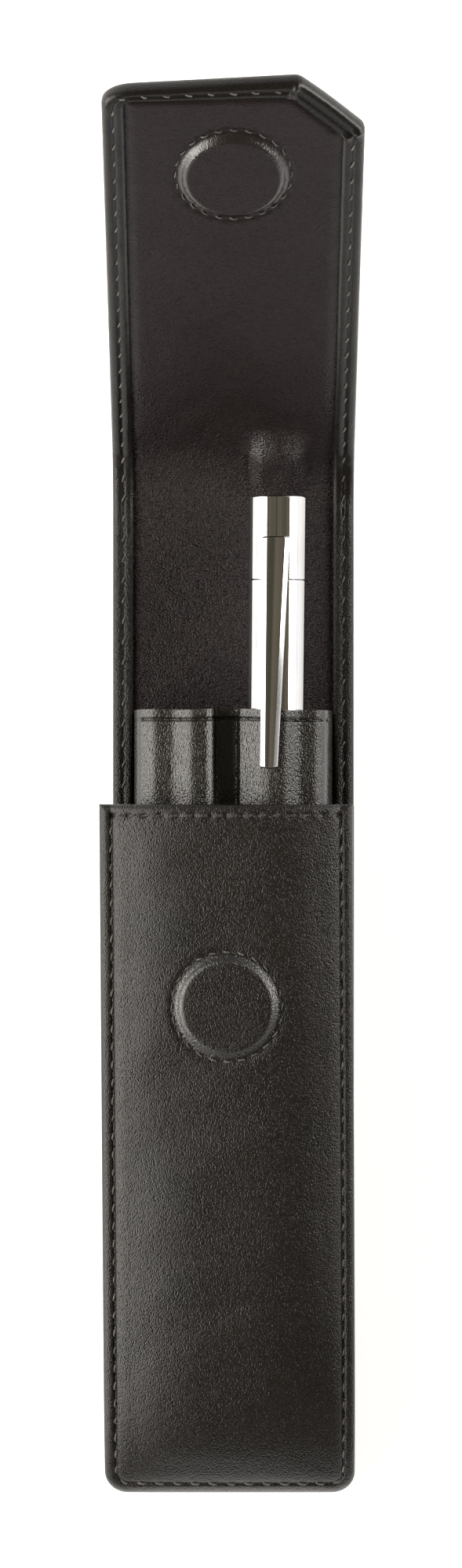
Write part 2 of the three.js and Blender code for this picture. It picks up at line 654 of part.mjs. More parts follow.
function frontSeamThread() {
  const x = FRONT_HALF - FRONT_STITCH_INSET;
  const radius = FRONT_CORNER - FRONT_STITCH_INSET;
  const top = FRONT_LENGTH - FRONT_SEAM_FROM_MOUTH;
  const sideRows = between(0, 1, 14).map((step) => FRONT_CORNER + (top - FRONT_CORNER) * step ** 2);
  const corner = between(0, Math.PI / 2, 4).slice(1, -1);
  const half = [
    ...sideRows.reverse().map((fromBottom) => [x, fromBottom]),
    ...corner.map((turn) => [
      x - radius * (1 - Math.cos(turn)),
      FRONT_CORNER - radius * Math.sin(turn),
    ]),
  ];
  const bottom = between(1, -1, 12).map((share) => [(x - radius) * share, FRONT_STITCH_INSET]);
  const mirrored = half.map(([across, fromBottom]) => [-across, fromBottom]).reverse();
  const path = [...half, ...bottom, ...mirrored];
  return threadTube(path.map(([across, fromBottom]) => frontPoint(across, fromBottom, -THREAD_LIFT)));
}

function frontMouthThread() {
  const half = FRONT_HALF - FRONT_STITCH_INSET;
  const path = between(-half, half, 20);
  return threadTube(path.map((x) => frontPoint(x, FRONT_LENGTH - MOUTH_STITCH_INSET, -THREAD_LIFT)));
}

function frontMagnetThread() {
  const path = between(0, 2 * Math.PI, 36).slice(0, -1).map((turn) => {
    const fromBottom = FRONT_MAGNET_FROM_BOTTOM + MAGNET_STITCH * Math.sin(turn);
    return frontPoint(MAGNET_STITCH * Math.cos(turn), fromBottom, -THREAD_LIFT - RING_EXTRA_LIFT);
  });
  return threadTube(path, true);
}

function flapMagnetThread() {
  const path = between(0, 2 * Math.PI, 36).slice(0, -1).map((turn) => {
    const along = BEND_END + FLAP_MAGNET_FROM_BEND + MAGNET_STITCH * Math.sin(turn);
    return coverPoint(MAGNET_STITCH * Math.cos(turn), along, INNER_FACE + THREAD_LIFT);
  });
  return threadTube(path, true);
}

// The thread round the sleeve's mouth stops on each side of the pen's clip
function sleeveMouthThread(fromShare, toShare, withEmptyChannel) {
  const y = SLEEVE_TOP - SLEEVE_STITCH_INSET;
  const axis = penAxis(y);
  const onChannel = (middle, half, crest) => (share) => {
    const reach = half + SLEEVE_SIDE + SLEEVE_THREAD_LIFT;
    const low = SLEEVE_LOW + SLEEVE_LEATHER + THREAD_LIFT;
    const top = crest + SLEEVE_LEATHER + SLEEVE_THREAD_LIFT;
    return new THREE.Vector3(middle + reach * share, y, low + (top - low) * channelArch(share));
  };
  const shares = (start, end) => between(Math.asin(start), Math.asin(end), 14).map(Math.sin);
  const empty = onChannel(EMPTY_CHANNEL_X, EMPTY_CHANNEL_HALF, EMPTY_CHANNEL_CREST);
  const pen = onChannel(axis.x, PEN_CHANNEL_HALF, axis.z + PEN_RADIUS + PEN_CLEAR);
  const left = withEmptyChannel ? shares(-SLEEVE_THREAD_REACH, SLEEVE_THREAD_REACH).map(empty) : [];
  return threadTube([...left, ...shares(fromShare, toShare).map(pen)]);
}

function edgeThread(side, stations) {
  const x = side * (COVER_HALF - THREAD_INSET);
  return threadTube(stations.map((along) => coverPoint(x, along, LIP_TOP + THREAD_LIFT)));
}

function flapSeamThread() {
  const sides = flapSides(THREAD_INSET);
  const stations = flapStations(CREASE_B + THREAD_FROM_CREASE, THREAD_INSET);
  const onLip = (x, along) => coverPoint(x, along, LIP_TOP + THREAD_LIFT);
  const left = stations.map((along) => onLip(sides(along)[0], along));
  const right = stations.map((along) => onLip(sides(along)[1], along)).reverse();
  return threadTube([...left, ...right]);
}

// Pen, made along its own axis with the flat end at zero and the point at minus its length

function turned(profile, segments = 28) {
  const upwards = profile.map(([radius, from]) => new THREE.Vector2(radius, -from)).reverse();
  return new THREE.LatheGeometry(upwards, segments);
}

// Hollow piece of revolution: outer radii downwards, then the bore back up
function turnedTube(outside, bore) {
  const profile = [...outside, ...bore, outside[0]];
  return turned(profile);
}

function straightTube(radius, bore, start, end) {
  return turnedTube([[radius, start], [radius, end]], [[bore, end], [bore, start]]);
}

function penFinial() {
  const spigotEnd = PEN_SEAM + PEN_SPIGOT_LONG;
  const body = turned([
    [0, 0], [PEN_RADIUS - PEN_EDGE, 0], [PEN_RADIUS - PEN_EDGE * 0.3, PEN_EDGE * 0.3], [PEN_RADIUS, PEN_EDGE],
    [PEN_RADIUS, PEN_SEAM], [PEN_CORE, PEN_SEAM], [PEN_CORE, spigotEnd], [0, spigotEnd],
  ]);
  return cut(body, clipFoot(PEN_GAP, PEN_RADIUS + CUT_PAST));
}

// Foot that holds the clip in the finial; the slot for it is wider by the play
function clipFoot(play, top) {
  const start = -CLIP_AT - CLIP_FOOT_FROM;
  return block(
    CLIP_FOOT_LEFT - play, CLIP_FOOT_RIGHT + play,
    start - CLIP_FOOT_LONG - play, start + play,
    PEN_RADIUS - CLIP_FOOT_DEEP - play, top,
  );
}

// The clip's left edge runs straight and its right edge tapers to the rounded tip
function penClip() {
  const low = PEN_RADIUS + CLIP_LIFT;
  const end = CLIP_AT + CLIP_LONG;
  const tipRadius = (CLIP_TIP_RIGHT - CLIP_LEFT) / 2;
  const plan = new THREE.Shape();
  plan.moveTo(CLIP_LEFT + CLIP_CORNER, -CLIP_AT);
  plan.lineTo(CLIP_RIGHT - CLIP_CORNER, -CLIP_AT);
  plan.quadraticCurveTo(CLIP_RIGHT, -CLIP_AT, CLIP_RIGHT, -CLIP_AT - CLIP_CORNER);
  plan.lineTo(CLIP_TIP_RIGHT, -end + tipRadius);
  plan.absarc(CLIP_LEFT + tipRadius, -end + tipRadius, tipRadius, 0, -Math.PI, true);
  plan.lineTo(CLIP_LEFT, -CLIP_AT - CLIP_CORNER);
  plan.quadraticCurveTo(CLIP_LEFT, -CLIP_AT, CLIP_LEFT + CLIP_CORNER, -CLIP_AT);
  const options = { depth: CLIP_THICK, bevelEnabled: false, curveSegments: 6 };
  const blade = new THREE.ExtrudeGeometry(plan, options).translate(0, 0, low);
  return join(blade, clipFoot(0, low + CLIP_WELD));
}

function penUpperBarrel() {
  return straightTube(PEN_RADIUS, PEN_BORE, PEN_SEAM + PEN_GAP, PEN_BAND_AT - PEN_GAP);
}

function penCentreBand() {
  return straightTube(PEN_RADIUS, PEN_BORE, PEN_BAND_AT, PEN_BAND_AT + PEN_BAND_LONG);
}

function penTwistMechanism() {
  return straightTube(PEN_CORE, REFILL_BORE, MECHANISM_AT, MECHANISM_AT + MECHANISM_LONG);
}

// The lower barrel turns on a neck inside the upper barrel
function penLowerBarrel() {
  const neck = PEN_BAND_AT - PEN_NECK_LONG;
  const start = PEN_BAND_AT + PEN_BAND_LONG + PEN_GAP;
  return turnedTube(
    [
      [PEN_CORE, neck], [PEN_CORE, start], [PEN_RADIUS, start],
      [PEN_RADIUS - PEN_SHOULDER_DROP, start + PEN_SHOULDER_LONG], [PEN_CONE_RADIUS, PEN_CONE_AT],
    ],
    [[LOWER_BORE, PEN_CONE_AT], [LOWER_BORE, neck]],
  );
}

function penTip() {
  const start = PEN_CONE_AT + PEN_GAP;
  const spigot = LOWER_BORE - PEN_GAP;
  const holeStart = PEN_LENGTH - TIP_HOLE_LONG;
  return turnedTube(
    [
      [spigot, start - TIP_SPIGOT_LONG], [spigot, start],
      [PEN_CONE_RADIUS, start], [TIP_HOLE + TIP_WALL, PEN_LENGTH],
    ],
    [
      [TIP_HOLE, PEN_LENGTH], [TIP_HOLE, holeStart],
      [REFILL_BORE, holeStart - TIP_FUNNEL_LONG], [REFILL_BORE, start - TIP_SPIGOT_LONG],
    ],
  );
}

// The refill is drawn back, with room to come forward by its stroke before it meets the funnel in the tip
function penRefill() {
  const point = PEN_LENGTH - REFILL_SHORT;
  const nose = PEN_LENGTH - TIP_HOLE_LONG - REFILL_STROKE - REFILL_NOSE_LONG;
  return turned([
    [0, REFILL_AT], [REFILL_RADIUS, REFILL_AT], [REFILL_RADIUS, nose - REFILL_NOSE_LONG],
    [REFILL_POINT_RADIUS, nose], [REFILL_POINT_RADIUS, point], [0, point + REFILL_POINT_RADIUS / 2],
  ], 16);
}

// Assembly

function named(name, geometry, material) {
  const mesh = new THREE.Mesh(geometry, material);
  mesh.name = name;
  return mesh;
}

function gather(...meshes) {
  return new THREE.Group().add(...meshes);
}

const liningEnd = CREASE_A - CREASE_GAP;
const backThreadStations = [FRONT_LENGTH + THREAD_FROM_FRONT - BACK_LENGTH, -THREAD_FROM_CREASE];
const foldThreadEnd = CREASE_B - THREAD_FROM_CREASE;
const foldThreadBend = BAND_BEND.filter((along) => along < foldThreadEnd - THREAD_RADIUS);
const foldThreadStations = [THREAD_FROM_CREASE, ...foldThreadBend, foldThreadEnd];

const pouch = gather(
  named('back_outer', backOuter(), LEATHER),
  named('back_board', backPlate(LINING_INSET, CREASE_A - BOARD_FROM_CREASE, BOARD_LOW, BOARD_TOP), BOARD),
  named('back_lining', backPlate(LINING_INSET, liningEnd, LINING_LOW, INNER_FACE), LINING),
  named('back_left_thread', edgeThread(-1, backThreadStations), THREAD),
  named('back_right_thread', edgeThread(1, backThreadStations), THREAD),
  named('front_outer', frontOuter(), LEATHER),
  named('front_lining', frontLining(), LINING),
  named('front_magnet', frontMagnet(), STEEL),
  named('front_seam_thread', frontSeamThread(), THREAD),
  named('front_mouth_thread', frontMouthThread(), THREAD),
  named('front_magnet_thread', frontMagnetThread(), THREAD),
  named('left_gusset', gusset(-1), LEATHER),
  named('right_gusset', gusset(1), LEATHER),
  named('sleeve_front', sleeveFront(), LEATHER),
  named('sleeve_back', sleeveBack(), LINING),
  named('sleeve_left_thread', sleeveMouthThread(-SLEEVE_THREAD_REACH, -CLIP_PASSES, true), THREAD),
  named('sleeve_right_thread', sleeveMouthThread(CLIP_PASSES, SLEEVE_THREAD_REACH, false), THREAD),
);

const foldBand = gather(
  named('fold_outer', foldOuter(), LEATHER),
  named('fold_lining', foldLining(), LINING),
  named('fold_left_thread', edgeThread(-1, foldThreadStations), THREAD),
  named('fold_right_thread', edgeThread(1, foldThreadStations), THREAD),
);

const flap = gather(
  named('flap_outer', flapOuter(), LEATHER),
  named('flap_board', flapBoard(), BOARD),
  named('flap_lining', flapLining(), LINING),
  named('flap_magnet', flapMagnet(), STEEL),
  named('flap_seam_thread', flapSeamThread(), THREAD),
  named('flap_magnet_thread', flapMagnetThread(), THREAD),
);

const pen = gather(
  named('pen_finial', penFinial(), CHROME),
  named('pen_clip', penClip(), CHROME),
  named('pen_upper_barrel', penUpperBarrel(), CHROME),
  named('pen_centre_band', penCentreBand(), CHROME),
  named('pen_twist_mechanism', penTwistMechanism(), PLASTIC),
  named('pen_lower_barrel', penLowerBarrel(), CHROME),
  named('pen_tip', penTip(), CHROME),
  named('pen_refill', penRefill(), BRASS),
);
pen.position.copy(PEN_END);
pen.rotation.set(PEN_TILT, 0, -PEN_LEAN);

export default gather(pouch, foldBand, flap, pen);
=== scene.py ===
"""Looks of a two-pen leather pouch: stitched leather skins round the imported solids, and a chrome twist pen.

Shapes are worked out in millimetres in the part's own frame, and the meshes are made in metres.
"""

import json
import math

import bmesh
import bpy
import numpy as np
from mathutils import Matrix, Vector


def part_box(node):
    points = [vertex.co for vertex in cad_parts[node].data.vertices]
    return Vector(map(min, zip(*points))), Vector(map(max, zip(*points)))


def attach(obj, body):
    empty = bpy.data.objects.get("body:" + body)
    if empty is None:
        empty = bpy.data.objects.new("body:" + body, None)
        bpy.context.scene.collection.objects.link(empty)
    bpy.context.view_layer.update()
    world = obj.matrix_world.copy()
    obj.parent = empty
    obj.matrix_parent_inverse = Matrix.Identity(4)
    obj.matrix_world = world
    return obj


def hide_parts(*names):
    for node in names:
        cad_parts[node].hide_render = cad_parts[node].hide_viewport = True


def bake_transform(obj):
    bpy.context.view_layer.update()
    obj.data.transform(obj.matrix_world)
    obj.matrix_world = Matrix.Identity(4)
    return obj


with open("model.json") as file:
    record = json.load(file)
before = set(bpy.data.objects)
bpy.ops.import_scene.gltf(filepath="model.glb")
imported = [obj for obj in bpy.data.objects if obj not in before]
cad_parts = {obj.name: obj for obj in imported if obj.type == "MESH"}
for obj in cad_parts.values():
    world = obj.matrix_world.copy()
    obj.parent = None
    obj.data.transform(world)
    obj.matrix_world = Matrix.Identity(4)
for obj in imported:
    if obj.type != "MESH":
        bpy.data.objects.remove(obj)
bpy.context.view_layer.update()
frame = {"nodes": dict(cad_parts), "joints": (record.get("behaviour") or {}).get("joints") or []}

MM = 0.001
JOINTS = {joint["name"]: joint for joint in frame["joints"]}


def box_mm(node):
    """A CAD node's lowest and highest corner, in millimetres."""
    return tuple(np.array(corner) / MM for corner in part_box(node))


# Cover: heights are above the outer face, and distances along it start at the first crease
BACK_LOW, BACK_HIGH = box_mm("back_outer")
COVER_HALF = BACK_HIGH[0]
LIP_TOP = BACK_HIGH[2]
_, CREASE_Y, INNER_FACE = np.array(JOINTS["fold_hinge"]["pos_m"]) / MM
BACK_END = BACK_LOW[1] - CREASE_Y
BACK_CORNER = 4.0
BAND_FLAT = 12.64
BEND_RADIUS = 15.0
BEND_ANGLE = math.radians(50)
BEND_END = BAND_FLAT + BEND_RADIUS * BEND_ANGLE
CREASE_B = BAND_FLAT + BEND_RADIUS * BEND_ANGLE / 2
FLAP_TIP = BEND_END + 80.0
FLAP_CUT = 10.5
FLAP_SKEW = 3.0
FLAP_SKEW_LONG = 10.5
FLAP_MAGNET = BEND_END + 59.95
# Where the back's skins end and the flap's begin
SPLIT = 6.3

# Turned rim: its width, its seam, and how uneven it is
RIM = 3.6
RIM_STITCH = 1.85
RIM_STEP = 0.6
RIM_UNEVEN = 0.05
RIM_CREASE = 0.11
RIM_CREASE_SPAN = 9
MITRE_HEIGHT = 0.4
MITRE_WIDTH = 0.45
MITRE_REACH = 8
SEAM_STEP = 0.8
SEAM_PITCH = 3.5
OVER_STITCH = 2.74
UNDER_STITCH = 0.42

# Lining: how far it goes under the rim, how it is pressed in there, and where it wrinkles
LINING_TUCK = 0.35
LINING_COLUMNS = 87
LINING_FINE_FROM = -45
LINING_BELOW = 0.04
LINING_PRESS = 0.3
LINING_PRESS_WIDTH = 0.9
WRINKLES_START = (-60, -10)
WRINKLES_END = (24, 46)
# Swelling where the pen's end has moulded the lining above it
IMPRINT_X = 7.6
IMPRINT_HALF = 4.9
IMPRINT_SIDE = 2.4
IMPRINT_FROM = 13.0
IMPRINT_TOP = 22.0
IMPRINT_TO = 29.2
IMPRINT_HEIGHT = 1.9

# Front panel: distances are from its bottom edge
FRONT_LOW, FRONT_HIGH = box_mm("front_outer")
FRONT_LENGTH = FRONT_HIGH[1] - FRONT_LOW[1]
FRONT_HALF = 21.35
FRONT_CORNER = 4.0
FRONT_EDGE = 4.15
FRONT_RISE = 9.85
FRONT_SWELL = 9.0
FRONT_SLOPE = 0.048
FRONT_CROWN = 4.5
FRONT_TILT = 0.05
FRONT_LEAN_BOTTOM = -0.6
FRONT_LEAN = -1.3
FRONT_DEEP = 1.7
FRONT_ROLL = 1.3
FRONT_ROLL_DROP = 1.0
FRONT_STITCH = 2.0
FRONT_PITCH = 3.05
FRONT_SEAM_SHORT = 3
FURROW_DEPTH = 0.36
FURROW_WIDTH = 0.27
FRONT_LEAST = 0.3
DENT_X = -8.5
DENT_ALONG = 70
DENT_WIDTH = 6.5
DENT_STRETCH = 1.5
DENT_DEPTH = 0.5
MOUTH_STITCH = 1.9
MOUTH_WIDTH = 0.42
MOUTH_PRICK = 0.45
MOUTH_PUCKER = 0.1
MOUTH_END = 2.4
MOUTH_HALF = FRONT_HALF - MOUTH_END
MOUTH_COUNT = 14
MOUTH_PITCH = 2 * MOUTH_HALF / MOUTH_COUNT
FRONT_MAGNET = 84.05

# Raised magnet discs
BUMP_HEIGHT = 1.0
BUMP_FLAT = 7.55
BUMP_FOOT = 8.6
SHOULDER = (BUMP_FLAT + BUMP_FOOT) / 2
BUMP_STITCH = 9.25
RING_COUNT = 24
RING_PITCH = 2 * math.pi * BUMP_STITCH / RING_COUNT
RING_THREAD = 0.13
RING_SUNK = 0.22
RING_FURROW = 0.2
RING_FURROW_WIDTH = 0.45
RING_PUCKER = 0.09
RING_PUCKER_WIDTH = 0.55

# Gussets
GUSSET_OUT = COVER_HALF - 0.3
GUSSET_FOLD = 17.45
GUSSET_THICK = 0.6
GUSSET_START = 4.6
GUSSET_CLEAR = 0.05
GUSSET_WIDTH = 14
GUSSET_WAVE = 0.12

# Sleeve
SLEEVE_LOW, SLEEVE_HIGH = box_mm("sleeve_front")
SLEEVE_BOTTOM = SLEEVE_LOW[1]
SLEEVE_TOP = SLEEVE_HIGH[1]
SLEEVE_HALF = SLEEVE_HIGH[0]
SLEEVE_BASE = SLEEVE_LOW[2]
SLEEVE_LEATHER = 0.9
SLEEVE_CLEAR = 0.15
SLEEVE_FINE_FROM = 30
SLEEVE_STITCH = 1.7
SLEEVE_PITCH = 2.4
SLEEVE_FURROW = 0.45
SLEEVE_FURROW_WIDTH = 0.22
SLEEVE_SAG = 0.25
SLEEVE_SAG_LONG = 8
SLEEVE_SEWN_HALF = 16.2
EMPTY_CREST = 12.6

# Pen: distances are along its axis from the flat end
PEN_END = np.array(JOINTS["pen_twist"]["pos_m"]) / MM
PEN_AXIS = np.array(JOINTS["pen_twist"]["axis"])
PEN_RADIUS = 4.9
PEN_CLEAR = 0.25
PEN_SEAM = 14.2
SEAM_GAP = 0.07
PEN_GAP = 0.3
PEN_BAND = 70.3
PEN_BAND_LONG = 3.0
PEN_CONE = 116.0
PEN_CONE_RADIUS = 3.8
PEN_LENGTH = 132.0
PEN_EDGE = 0.06
FINIAL_EDGE = 0.2
BARREL_BORE = 3.9
SPIGOT_CLEAR = 0.05
SPIGOT_LONG = 5
LOWER_BORE = 2.8
LOWER_NECK = 3.6
LOWER_NECK_LONG = 10
POINT_BORE = 1.7
POINT_NECK = 2.5
POINT_NECK_LONG = 6
POINT_HOLE = 0.8
CLIP_START = 7.0
CLIP_END = 46.0
CLIP_LOW = PEN_RADIUS + 1.25
CLIP_TOP = CLIP_LOW + 0.8
CLIP_LEFT = -2.65
CLIP_RIGHT = 2.05
CLIP_TIP_RIGHT = 0.35
# The clip's slanted edge: distance in from its side, and below its face
CLIP_EDGE = [(0, 0.62), (0.03, 0.54), (0.1, 0.47), (0.74, 0.07), (0.84, 0.018), (0.98, 0)]

# The floor in metres: its height, how far it is flat, how far it goes and how high it sweeps up there.
# Its glow is the part of white that the camera and reflections see without light.
FLOOR_Z = -0.00005
FLOOR_FLAT = 1.2
FLOOR_REACH = 6.0
FLOOR_SWEEP = 1.6
FLOOR_GLOW = 0.68
# Lamps and camera in metres, and the lens in millimetres
SOFTBOX_DISTANCE = 0.8
LAMP_COLOUR = (1.0, 0.965, 0.9)
CAMERA_PLACE = (-0.0004, 0.04375, 0.6924)
CAMERA_LENS = 92.25


# Small helpers on arrays

def ease(start, end, value):
    t = np.clip((value - start) / (end - start), 0, 1)
    return t * t * (3 - 2 * t)


def bell(value, width):
    return np.exp(-(value / width) ** 2)


def ripple(u, v, wavelength, seed):
    """Smooth unevenness between about -1 and 1, from a few waves in seeded directions."""
    rng = np.random.RandomState(seed)
    total = 0
    for _ in range(7):
        angle = rng.uniform(0, 2 * math.pi)
        phase = rng.uniform(0, 2 * math.pi)
        stretch = rng.uniform(0.7, 1.5)
        wave = 2 * math.pi / (wavelength * stretch)
        total += np.sin(wave * (u * math.cos(angle) + v * math.sin(angle)) + phase)
    return total / 3.5


def joined(*parts):
    """Arrays of coordinates as one array of points."""
    return np.stack(np.broadcast_arrays(*parts), axis=-1)


def unit(vectors):
    return vectors / np.linalg.norm(vectors, axis=-1, keepdims=True)


def spaced(start, end, step):
    return np.linspace(start, end, max(int(round(abs(end - start) / step)), 1) + 1)


# Stations that crowd together at an edge, as distances in from it
EDGE_STEPS = np.array([
    0, 0.04, 0.12, 0.25, 0.42, 0.62, 0.85, 1.1, 1.35, 1.55, 1.7, 1.85, 2.0, 2.15, 2.3, 2.5, 2.8,
])


def edged(start, end, step):
    """Stations from start to end that crowd together at both ends."""
    inner = spaced(start + EDGE_STEPS[-1], end - EDGE_STEPS[-1], step)[1:-1]
    return np.concatenate([start + EDGE_STEPS, inner, end - EDGE_STEPS[::-1]])


# Meshes

WELD = 0.002 * MM


def weld(mesh):
    """Join points that coincide, drop faces that collapse, and turn all faces outwards."""
    shape = bmesh.new()
    shape.from_mesh(mesh)
    bmesh.ops.remove_doubles(shape, verts=shape.verts, dist=WELD)
    bmesh.ops.dissolve_degenerate(shape, edges=shape.edges, dist=WELD)
    bmesh.ops.recalc_face_normals(shape, faces=shape.faces)
    shape.to_mesh(mesh)
    shape.free()


def in_scene(name, data):
    obj = bpy.data.objects.new(name, data)
    bpy.context.scene.collection.objects.link(obj)
    return obj


def make_piece(name, vertices, faces, material, body, uv=None):
    mesh = bpy.data.meshes.new(name)
    mesh.from_pydata(vertices, [], faces)
    if uv is not None:
        mesh.uv_layers.new(name="grain").data.foreach_set("uv", uv)
    weld(mesh)
    obj = in_scene(name, mesh)
    mesh.materials.append(material)
    mesh.polygons.foreach_set("use_smooth", np.ones(len(mesh.polygons), bool))
    if body:
        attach(obj, body)
    return obj


def stand_in(piece, slot, *nodes):
    """Hide the CAD nodes that a piece is shown in place of."""
    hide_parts(*nodes)


def grid_piece(name, points, uv, material, body=None):
    """Piece over a grid of points in millimetres; its UV map holds millimetres along the leather."""
    rows, columns = points.shape[:2]
    index = np.arange(rows * columns).reshape(rows, columns)
    quads = joined(index[:-1, :-1], index[:-1, 1:], index[1:, 1:], index[1:, :-1]).reshape(-1, 4)
    vertices = points.reshape(-1, 3) * MM
    uv = uv.reshape(-1, 2)[quads.ravel()].astype(np.float32).ravel()
    return make_piece(name, vertices.tolist(), quads.tolist(), material, body, uv)


def wrapped(over, under):
    """Rows that run over one grid and back under another."""
    return np.concatenate([over, under[:, ::-1], over[:, :1]], axis=1)


def slab_piece(name, top, bottom, uv, material):
    """Piece of the case: a closed skin round two matching grids, rolled shut at both ends."""
    middle = (top + bottom) / 2
    shut = wrapped(middle, middle)
    points = np.concatenate([shut[:1], wrapped(top, bottom), shut[-1:]])
    uv = wrapped(uv, uv)
    uv = np.concatenate([uv[:1], uv, uv[-1:]])
    return grid_piece(name, points, uv, material, "case")


# Cover surface

def tip_skew(x, along):
    """The flap's tip runs askew, so that its left end is the shorter one."""
    into = np.maximum(along - (FLAP_TIP - FLAP_SKEW_LONG), 0) / FLAP_SKEW_LONG
    return FLAP_SKEW * into ** 2 * (COVER_HALF - x) / (2 * COVER_HALF)


def cover_point(x, along, height):
    """Point of the cover, which is flat up to the bend and straight again after it."""
    angle = np.clip((along - BAND_FLAT) / BEND_RADIUS, 0, BEND_ANGLE)
    rest = np.maximum(along - BEND_END, 0) - tip_skew(x, along)
    reach = BEND_RADIUS - (height - INNER_FACE)
    y = CREASE_Y + np.minimum(along, BAND_FLAT) + reach * np.sin(angle) + rest * np.cos(angle)
    z = INNER_FACE + BEND_RADIUS - reach * np.cos(angle) + rest * np.sin(angle)
    return joined(x, y, z)


CORNER_STEPS = 8
LEAST_CORNER = 0.25


def inset_chain(corners, radii, inset, step):
    """Points along an open chain of straight edges with rounded corners, moved to its left by the inset.

    The number of points depends on the chain and the step alone, so that chains of different insets match.
    """
    corners = np.array(corners, float)
    lengths = np.linalg.norm(np.diff(corners, axis=0), axis=1)
    along = np.diff(corners, axis=0) / lengths[:, None]
    left = joined(-along[:, 1], along[:, 0])
    places = [corners[0] + left[0] * inset]
    for i in range(1, len(corners) - 1):
        turn = 1 + along[i - 1] @ along[i]
        places.append(corners[i] + inset * (left[i - 1] + left[i]) / turn)
    places.append(corners[-1] + left[-1] * inset)
    points = []
    start = places[0]
    for i in range(len(along)):
        count = max(int(lengths[i] / step), 2)
        if i == len(along) - 1:
            points.append(np.linspace(start, places[-1], count + 1))
            break
        bend = math.acos(np.clip(along[i] @ along[i + 1], -1, 1))
        radius = max(radii[i] - inset, LEAST_CORNER)
        reach = radius * math.tan(bend / 2)
        stop = places[i + 1] - along[i] * reach
        points.append(np.linspace(start, stop, count, endpoint=False))
        centre = stop + left[i] * radius
        for angle in np.linspace(0, bend, CORNER_STEPS, endpoint=False):
            point = centre - radius * left[i] * math.cos(angle) + radius * along[i] * math.sin(angle)
            points.append(point[None])
        start = places[i + 1] + along[i + 1] * reach
    return np.concatenate(points)


BACK_CHAIN = [(-COVER_HALF, SPLIT), (-COVER_HALF, BACK_END), (COVER_HALF, BACK_END), (COVER_HALF, SPLIT)]
BACK_RADII = [BACK_CORNER, BACK_CORNER]
FLAP_CHAIN = [
    (COVER_HALF, SPLIT), (COVER_HALF, FLAP_TIP - FLAP_CUT), (COVER_HALF - FLAP_CUT, FLAP_TIP),
    (-COVER_HALF, FLAP_TIP), (-COVER_HALF, SPLIT),
]
CUT_RADIUS = 2.0
FLAP_RADII = [CUT_RADIUS, CUT_RADIUS, 5.0]

# Folds of the turned edge at the cut corner: the corner, and the direction in which the fold runs inwards
MITRES = [
    ((COVER_HALF, FLAP_TIP - FLAP_CUT), (-0.924, -0.383)),
    ((COVER_HALF - FLAP_CUT, FLAP_TIP), (-0.383, -0.924)),
]

# Turned edge of the cover from its outer face, round the edge and over the rim, as inset and height
RIM_PROFILE = [
    (2.6, 0.0), (RIM_STITCH + 0.3, 0.01), (RIM_STITCH + 0.16, 0.18), (RIM_STITCH, 0.3),
    (RIM_STITCH - 0.16, 0.18), (RIM_STITCH - 0.3, 0.01), (0.9, 0.02), (0.4, 0.14), (0.1, 0.5), (0.0, 1.1),
    (0.02, 1.8), (0.14, 2.35), (0.42, 2.72), (0.85, 2.9), (RIM_STITCH - 0.5, 2.93), (RIM_STITCH - 0.25, 2.86),
    (RIM_STITCH, 2.7), (RIM_STITCH + 0.25, 2.86), (RIM_STITCH + 0.5, 2.94), (RIM - 0.8, 2.96),
    (RIM - 0.52, 2.93), (RIM - 0.14, 2.62), (RIM - 0.02, 2.4), (RIM, 2.1),
]
# Outer face between its middle line and the rim: how far out each row is, and where the line stops short
SPINE_SHARES = [0, 0.3, 0.6, 0.85]
SPINE_END = 15


def mitre_fold(plan):
    """Height of the folds of the turned edge at the cut corner."""
    fold = 0
    for corner, inward in MITRES:
        offset = plan - corner
        beside = offset[:, 0] * inward[1] - offset[:, 1] * inward[0]
        fold += bell(beside, MITRE_WIDTH) * (np.abs(offset).max(axis=1) < MITRE_REACH)
    return MITRE_HEIGHT * fold


def cover_skin(name, chain, radii, material):
    """Outer leather of one end of the cover with its turned, stitched edge."""
    rings = []
    uvs = []
    edge = inset_chain(chain, radii, RIM_PROFILE[0][0], RIM_STEP)
    ends = np.array(chain)[:, 1]
    middle = np.clip(edge[:, 1], min(ends) + SPINE_END, max(ends) - SPINE_END)
    middle = np.where(np.abs(ends[0] - edge[:, 1]) < SPINE_END, edge[:, 1], middle)
    spine = joined(0, middle)
    for share in SPINE_SHARES:
        plan = spine + share * (edge - spine)
        rings.append(cover_point(*plan.T, 0.0))
        uvs.append(plan)
    unrolled = RIM_PROFILE[0][0]
    before = RIM_PROFILE[0]
    for inset, height in RIM_PROFILE:
        unrolled -= math.hypot(inset - before[0], height - before[1])
        before = (inset, height)
        plan = inset_chain(chain, radii, inset, RIM_STEP)
        near_bend = bell(plan[:, 1] - CREASE_B, RIM_CREASE_SPAN)
        creases = RIM_CREASE * near_bend * ripple(0, plan[:, 1], 2.6, 4)
        uneven = RIM_UNEVEN * ripple(*plan.T, 7, 3) + creases + mitre_fold(plan)
        uneven = uneven * ease(INNER_FACE, LIP_TOP, height)
        rings.append(cover_point(*plan.T, height + uneven))
        uvs.append(inset_chain(chain, radii, unrolled, RIM_STEP))
    return grid_piece(name, np.array(rings), np.array(uvs), material)


# Lining

def right_edge(along, inset):
    """The cover's right edge, which runs in along the flap's cut corner."""
    return np.minimum(COVER_HALF - inset, COVER_HALF + FLAP_TIP - FLAP_CUT - inset * math.sqrt(2) - along)


